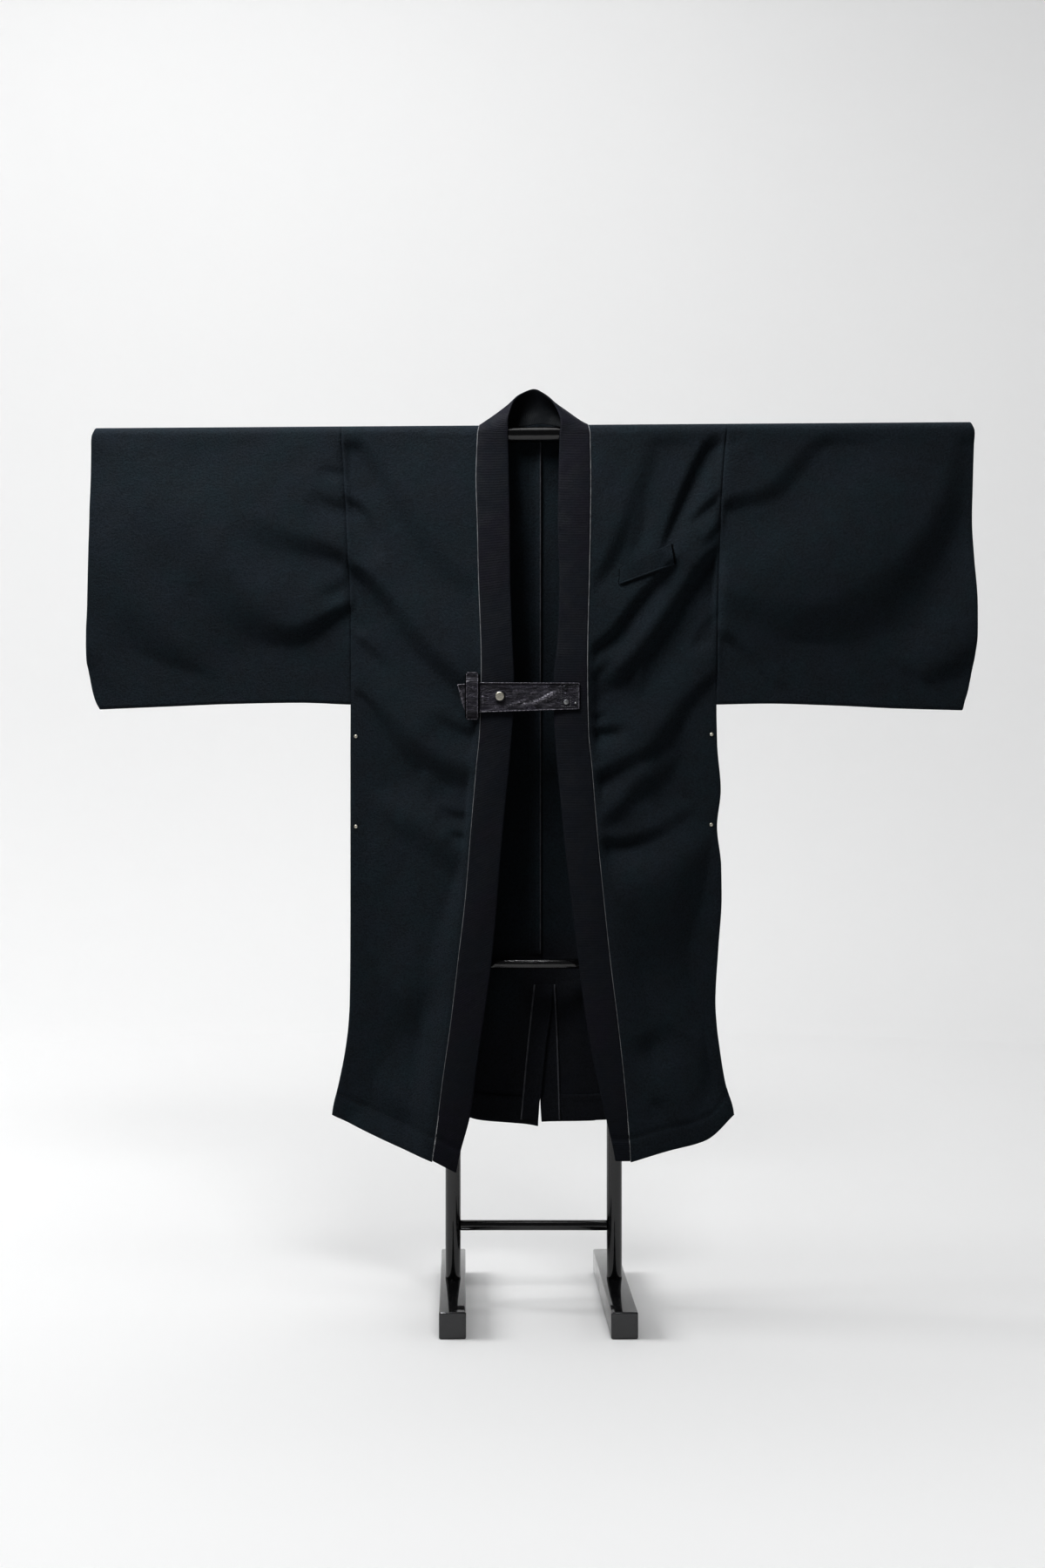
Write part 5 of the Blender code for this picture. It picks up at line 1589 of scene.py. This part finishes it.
def keeper_leather():
    """The loop that holds the strap's free end, a little narrower and rounder at its ends."""
    low, high = KEEPER_Z[0], KEEPER_Z[3]
    z = np.linspace(low, high, 61)
    share = np.linspace(-1, 1, 13)[None, :]
    middle, half = 0.5 * sum(KEEPER_X), 0.5 * (KEEPER_X[1] - KEEPER_X[0])
    from_end = np.minimum(z - low, high - z)[:, None]
    narrow = 1 - 0.22 * (1 - np.sqrt(1 - np.clip(1 - from_end / 0.004, 0, 1) ** 2))
    x = middle + half * share * narrow
    y = keeper_depth(z)[:, None] - 0.0006 * (1 - share**2) * smooth(from_end / 0.01)
    grid = lifted(stacked(x, y, z[:, None])) - np.array((SHIFT, 0, 0))
    return cloth_piece("keeper_leather", grid, KEEPER_WALL, FINISH["leather"], (30, 6), rim=0.0006)


def keeper_stitches():
    run = np.linspace(KEEPER_X[0] + 0.003, KEEPER_X[1] - 0.003, 8)
    heights = (KEEPER_Z[0] + 0.003, KEEPER_Z[3] - 0.003)
    lines = [stacked(run, keeper_high.y - KEEPER_WALL - 0.0001, z) for z in heights]
    return stitched("keeper_stitches", lines, FINISH["thread"], 0.0026, 0.0019, 0.0003)


# Profiles, as shares of a cap's radius and height
SNAP_RIM = ((0, 0), (0.97, 0), (1, 0.12), (1, 0.3), (0.96, 0.55), (0.86, 0.66), (0.8, 0.6), (0, 0.6))
SNAP_PLATE = (
    (0, 0.5), (0.8, 0.5), (0.815, 0.74), (0.8, 0.86), (0.755, 0.92), (0.7, 0.94), (0.35, 0.985), (0, 1)
)
RIVET_CAP = (
    (0.9, 0), (1, 0.25), (0.97, 0.55), (0.85, 0.78), (0.72, 0.84), (0.62, 0.72), (0.52, 0.86),
    (0.25, 0.99), (0, 1),
)
NOTCHES, NOTCHED_FROM, NOTCHED_TO = 24, 0.9, 0.955


def scaled(profile, radius, height):
    return [(radius * a, height * b) for a, b in profile]


def snap_rim():
    """The snap's dark rim, with notches round it."""
    seat = on_strap(*SNAP, SEATED)
    profile = scaled(SNAP_RIM, SNAP_RADIUS, SNAP_HEIGHT)
    rim = turned_piece("snap_rim", profile, seat, TO_FRONT, FINISH["dark_metal"], 72)
    for vert in rim.data.vertices:
        off = vert.co - seat
        notched = math.cos(math.atan2(off.z, off.x) * NOTCHES) > 0.2
        if notched and math.hypot(off.x, off.z) > SNAP_RADIUS * NOTCHED_FROM:
            vert.co = seat + Vector((off.x * NOTCHED_TO, off.y, off.z * NOTCHED_TO))
    return rim


def snap_plate():
    """The snap's flat bright plate."""
    profile = scaled(SNAP_PLATE, SNAP_RADIUS, SNAP_HEIGHT)
    return turned_piece("snap_plate", profile, on_strap(*SNAP, SEATED), TO_FRONT, FINISH["snap"], 64)


def rivet(name, point, normal, radius, finish):
    """A rivet's cap: a domed ring round a small button, its stem sunk in what carries it."""
    stem = [(0.0, -0.0012), (radius * 0.6, -0.0012)]
    profile = stem + scaled(RIVET_CAP, radius, RIVET_HEIGHT)
    return turned_piece(name, profile, point, normal, finish, 32)


def side_rivets():
    """The rivets at the pockets' corners, each square on the cloth, by the side they are on."""
    step = 0.002
    for name, (x, z) in SIDE_RIVETS.items():
        side = RIGHT if x < 0 else LEFT
        spots = outside_front(side, np.array((x, x + step, x)), np.array((z, z, z + step)))
        here, over, up = (Vector(spot) for spot in lifted(spots))
        normal = (over - here).cross(up - here).normalized()
        if normal.y > 0:
            normal.negate()
        yield name, rivet("pocket_rivet_" + name, here, normal, SIDE_RIVET_RADIUS, FINISH["snap"])


# ---------------------------------------------------------------- the stand


def stand_pieces():
    """The stand's parts in lacquer, each with the node that it replaces."""

    def bar(name, start, end, radius):
        start, end = ((x + SHIFT, 0, z) for x, z in (start, end))
        return round_bar(name, start, end, radius, FINISH["lacquer"])

    for side in (RIGHT, LEFT):
        x = side * POST_X
        high = ROD_Z + ROD_TILT * (x - POST_RADIUS) - ROD_RADIUS - GAP
        ends = (x, FOOT[2] - 0.0005), (x, high)
        yield "post_" + hand(side), bar("post_lacquer_" + hand(side), *ends, POST_RADIUS)
        place = (x + SHIFT, 0, FOOT[2] / 2)
        foot = boxed("foot_lacquer_" + hand(side), FOOT, place, FOOT_TURN, FINISH["lacquer"])
        yield "foot_" + hand(side), foot
    reach = POST_X - POST_RADIUS + 0.0004
    for name, (replaced, z) in BARS.items():
        yield replaced, bar("crossbar_lacquer_" + name, (-reach, z), (reach, z), BAR_RADIUS)
    half = ROD_LENGTH / 2
    rise = ROD_TILT * half
    yield "sleeve_rod", bar("rod_lacquer", (-half, ROD_Z - rise), (half, ROD_Z + rise), ROD_RADIUS)


# ---------------------------------------------------------------- putting it together


def put(piece, slot, *nodes):
    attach(piece, "root")
    if nodes:
        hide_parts(*nodes)
    return piece


for side in (RIGHT, LEFT):
    put(body_cloth(side), "cloth", "body_" + hand(side))
    put(sleeve_cloth(side), "cloth", "sleeve_" + hand(side))
band = put(band_cloth(), "band", "collar_band")
put(piping(), "piping", "collar_piping")
for side in (RIGHT, LEFT):
    facing, binding = vent_facing(side)
    put(facing, "cloth", "vent_facing_" + hand(side))
    put(binding, "piping")
allowance, binding = back_allowance()
put(allowance, "cloth")
put(binding, "piping")
welt = put(chest_welt(), "cloth", "chest_pocket_welt")
for piece in (*welt_seams(), welt_stitches(), hem_stitches()):
    put(piece, "cloth")

put(strap_leather(), "leather", "closure_strap")
put(keeper_leather(), "leather", "strap_keeper")
for piece in (*strap_edges(), *keeper_edges(), strap_stitches(), keeper_stitches()):
    put(piece, "leather")
put(snap_rim(), "dark_metal")
put(snap_plate(), "snap", "snap_cap")
for which, (spot, metal) in STRAP_RIVETS.items():
    name, seat = "strap_rivet_cap_" + which, on_strap(*spot, SEATED * 0.4)
    cap = rivet(name, seat, TO_FRONT, STRAP_RIVET_RADIUS, FINISH[metal])
    put(cap, "dark_metal", "strap_rivet_" + which)
stud = rivet("strap_stud", on_strap(*STUD, 0.0002), TO_FRONT, STUD_RADIUS, FINISH["pale_metal"])
put(stud, "dark_metal")
for which, piece in side_rivets():
    put(piece, "snap", "side_rivet_" + which)

for replaced, piece in stand_pieces():
    put(piece, "lacquer", replaced)

# ---------------------------------------------------------------- studio and camera


def studio_finish():
    """Flat pale paint, a little darker up the wall."""
    paint = Recipe("studio_paint", {"Specular IOR Level": 0.2, "Roughness": 0.75})
    clouds = paint.clouds(0.35, 2.0, 0.5)
    floor, wall = (
        paint.between(clouds, rgb(low, low, low), rgb(high, high, high))
        for low, high in ((0.84, 0.88), (0.785, 0.825))
    )
    rising = paint.ranged(paint.axes(paint.place)[2], 0.0, 1.4)
    return paint.done(paint.between(rising, floor, wall))


STUDIO_PAINT = studio_finish()
STUDIO = {state: bpy.data.collections.new("studio_" + state) for state in ("INCLUDE", "EXCLUDE")}
COVE_RADIUS = 7.0
COVE_CURVE = 3.2
COVE_HEIGHT = 6.5
UNDER_FEET = 0.0002


def swept(name, profile, start, angle, steps):
    """Part of the cove: a profile of radius and height swept round the middle."""
    bm = bmesh.new()
    ring = [bm.verts.new((r * math.cos(start), r * math.sin(start), h)) for r, h in profile]
    edges = [bm.edges.new(pair) for pair in zip(ring, ring[1:])]
    bmesh.ops.spin(bm, geom=ring + edges, cent=(0, 0, 0), axis=(0, 0, 1), angle=angle, steps=steps)
    bmesh.ops.remove_doubles(bm, verts=bm.verts[:], dist=0.0001)
    bmesh.ops.recalc_face_normals(bm, faces=bm.faces[:])
    piece = finished(name, bm, STUDIO_PAINT)
    for state, members in STUDIO.items():
        members.objects.link(piece)
        for member in members.collection_objects:
            member.light_linking.link_state = state
    return piece


def cove():
    """A round studio: a floor that curves up into a wall, its camera half kept dim."""
    flat = COVE_RADIUS - COVE_CURVE
    rise = []
    for step in range(13):
        turn = math.radians(step * 7.5)
        height = COVE_CURVE * (1 - math.cos(turn)) - UNDER_FEET
        rise.append((flat + COVE_CURVE * math.sin(turn), height))
    rise.append((COVE_RADIUS, COVE_HEIGHT))
    level = [(radius, -UNDER_FEET) for radius in (0.0, 1.0, flat)]
    swept("studio_floor", level, 0.0, math.tau, 96)
    swept("studio_wall_back", rise, 0.0, math.pi, 48)
    front = swept("studio_wall_front", rise, math.pi, math.pi, 48)
    front.visible_diffuse = front.visible_glossy = front.visible_shadow = False


WHITE = (1.0, 1.0, 1.0)
LIGHTS = (
    # name, place, aim, size, watts, colour, what it lights of the studio
    ("key_softbox", (-0.8, -0.95, 2.9), (0, 0, 0.85), (0.8, 0.8), 68.0, (0.97, 0.99, 1.0), "EXCLUDE"),
    ("fill_softbox", (3.2, -2.6, 2.2), (0, 0, 0.9), (1.4, 1.8), 3.0, WHITE, None),
    ("back_softbox", (1.6, 3.6, 3.2), (0, 0, 0.9), (1.8, 1.8), 40.0, WHITE, "EXCLUDE"),
    ("overhead_softbox", (-1.1, 0.6, 6.2), (-1.1, 0.6, 0), (6.0, 6.0), 113.0, WHITE, None),
    ("floor_wash_left", (-4.6, 0.2, 3.6), (-0.4, 0.2, 0), (2.6, 2.6), 118.0, WHITE, "INCLUDE"),
    ("floor_wash_right", (4.6, 0.2, 3.6), (0.4, 0, 0), (2.6, 2.6), 9.0, WHITE, "INCLUDE"),
    ("floor_wash_front", (0.9, -4.9, 4.0), (0.5, 0, 0), (2.0, 1.2), 78.0, WHITE, "INCLUDE"),
    ("wall_softbox", (-1.1, 3.5, 5.0), (-0.8, 7.0, 2.9), (3.4, 2.4), 56.0, WHITE, "INCLUDE"),
)


def soft_light(name, place, aim, size, watts, colour, studio):
    """An area light, which may be kept off the studio's floor and walls, or on them only."""
    data = bpy.data.lights.new(name, "AREA")
    data.shape = "RECTANGLE"
    data.size, data.size_y = size
    data.energy = watts
    data.color = colour
    light = bpy.data.objects.new(name, data)
    light.location = place
    light.rotation_euler = (Vector(aim) - Vector(place)).to_track_quat("-Z", "Y").to_euler()
    light.visible_camera = False
    bpy.context.scene.collection.objects.link(light)
    if studio:
        light.light_linking.receiver_collection = STUDIO[studio]


# The rod and the low crossbar would mirror the key
for mirror in ("crossbar_lacquer_low", "rod_lacquer"):
    STUDIO["EXCLUDE"].objects.link(bpy.data.objects[mirror])
cove()
for row in LIGHTS:
    soft_light(*row)

world = bpy.data.worlds.new("studio_air")
world.use_nodes = True
sky = world.node_tree.nodes["Background"]
sky.inputs["Color"].default_value = rgb(0.97, 0.985, 1.0)
sky.inputs["Strength"].default_value = 0.12
bpy.context.scene.world = world

lens = bpy.data.cameras.new("camera")
lens.lens = 50.0
lens.sensor_width = 36.0
camera = bpy.data.objects.new("camera", lens)
camera.location = (-0.0138, -3.431, 0.819)
camera.rotation_euler = (math.radians(90), 0, 0)
bpy.context.scene.collection.objects.link(camera)
bpy.context.scene.camera = camera

view = bpy.context.scene.view_settings
view.view_transform = "Standard"
view.look = "High Contrast"
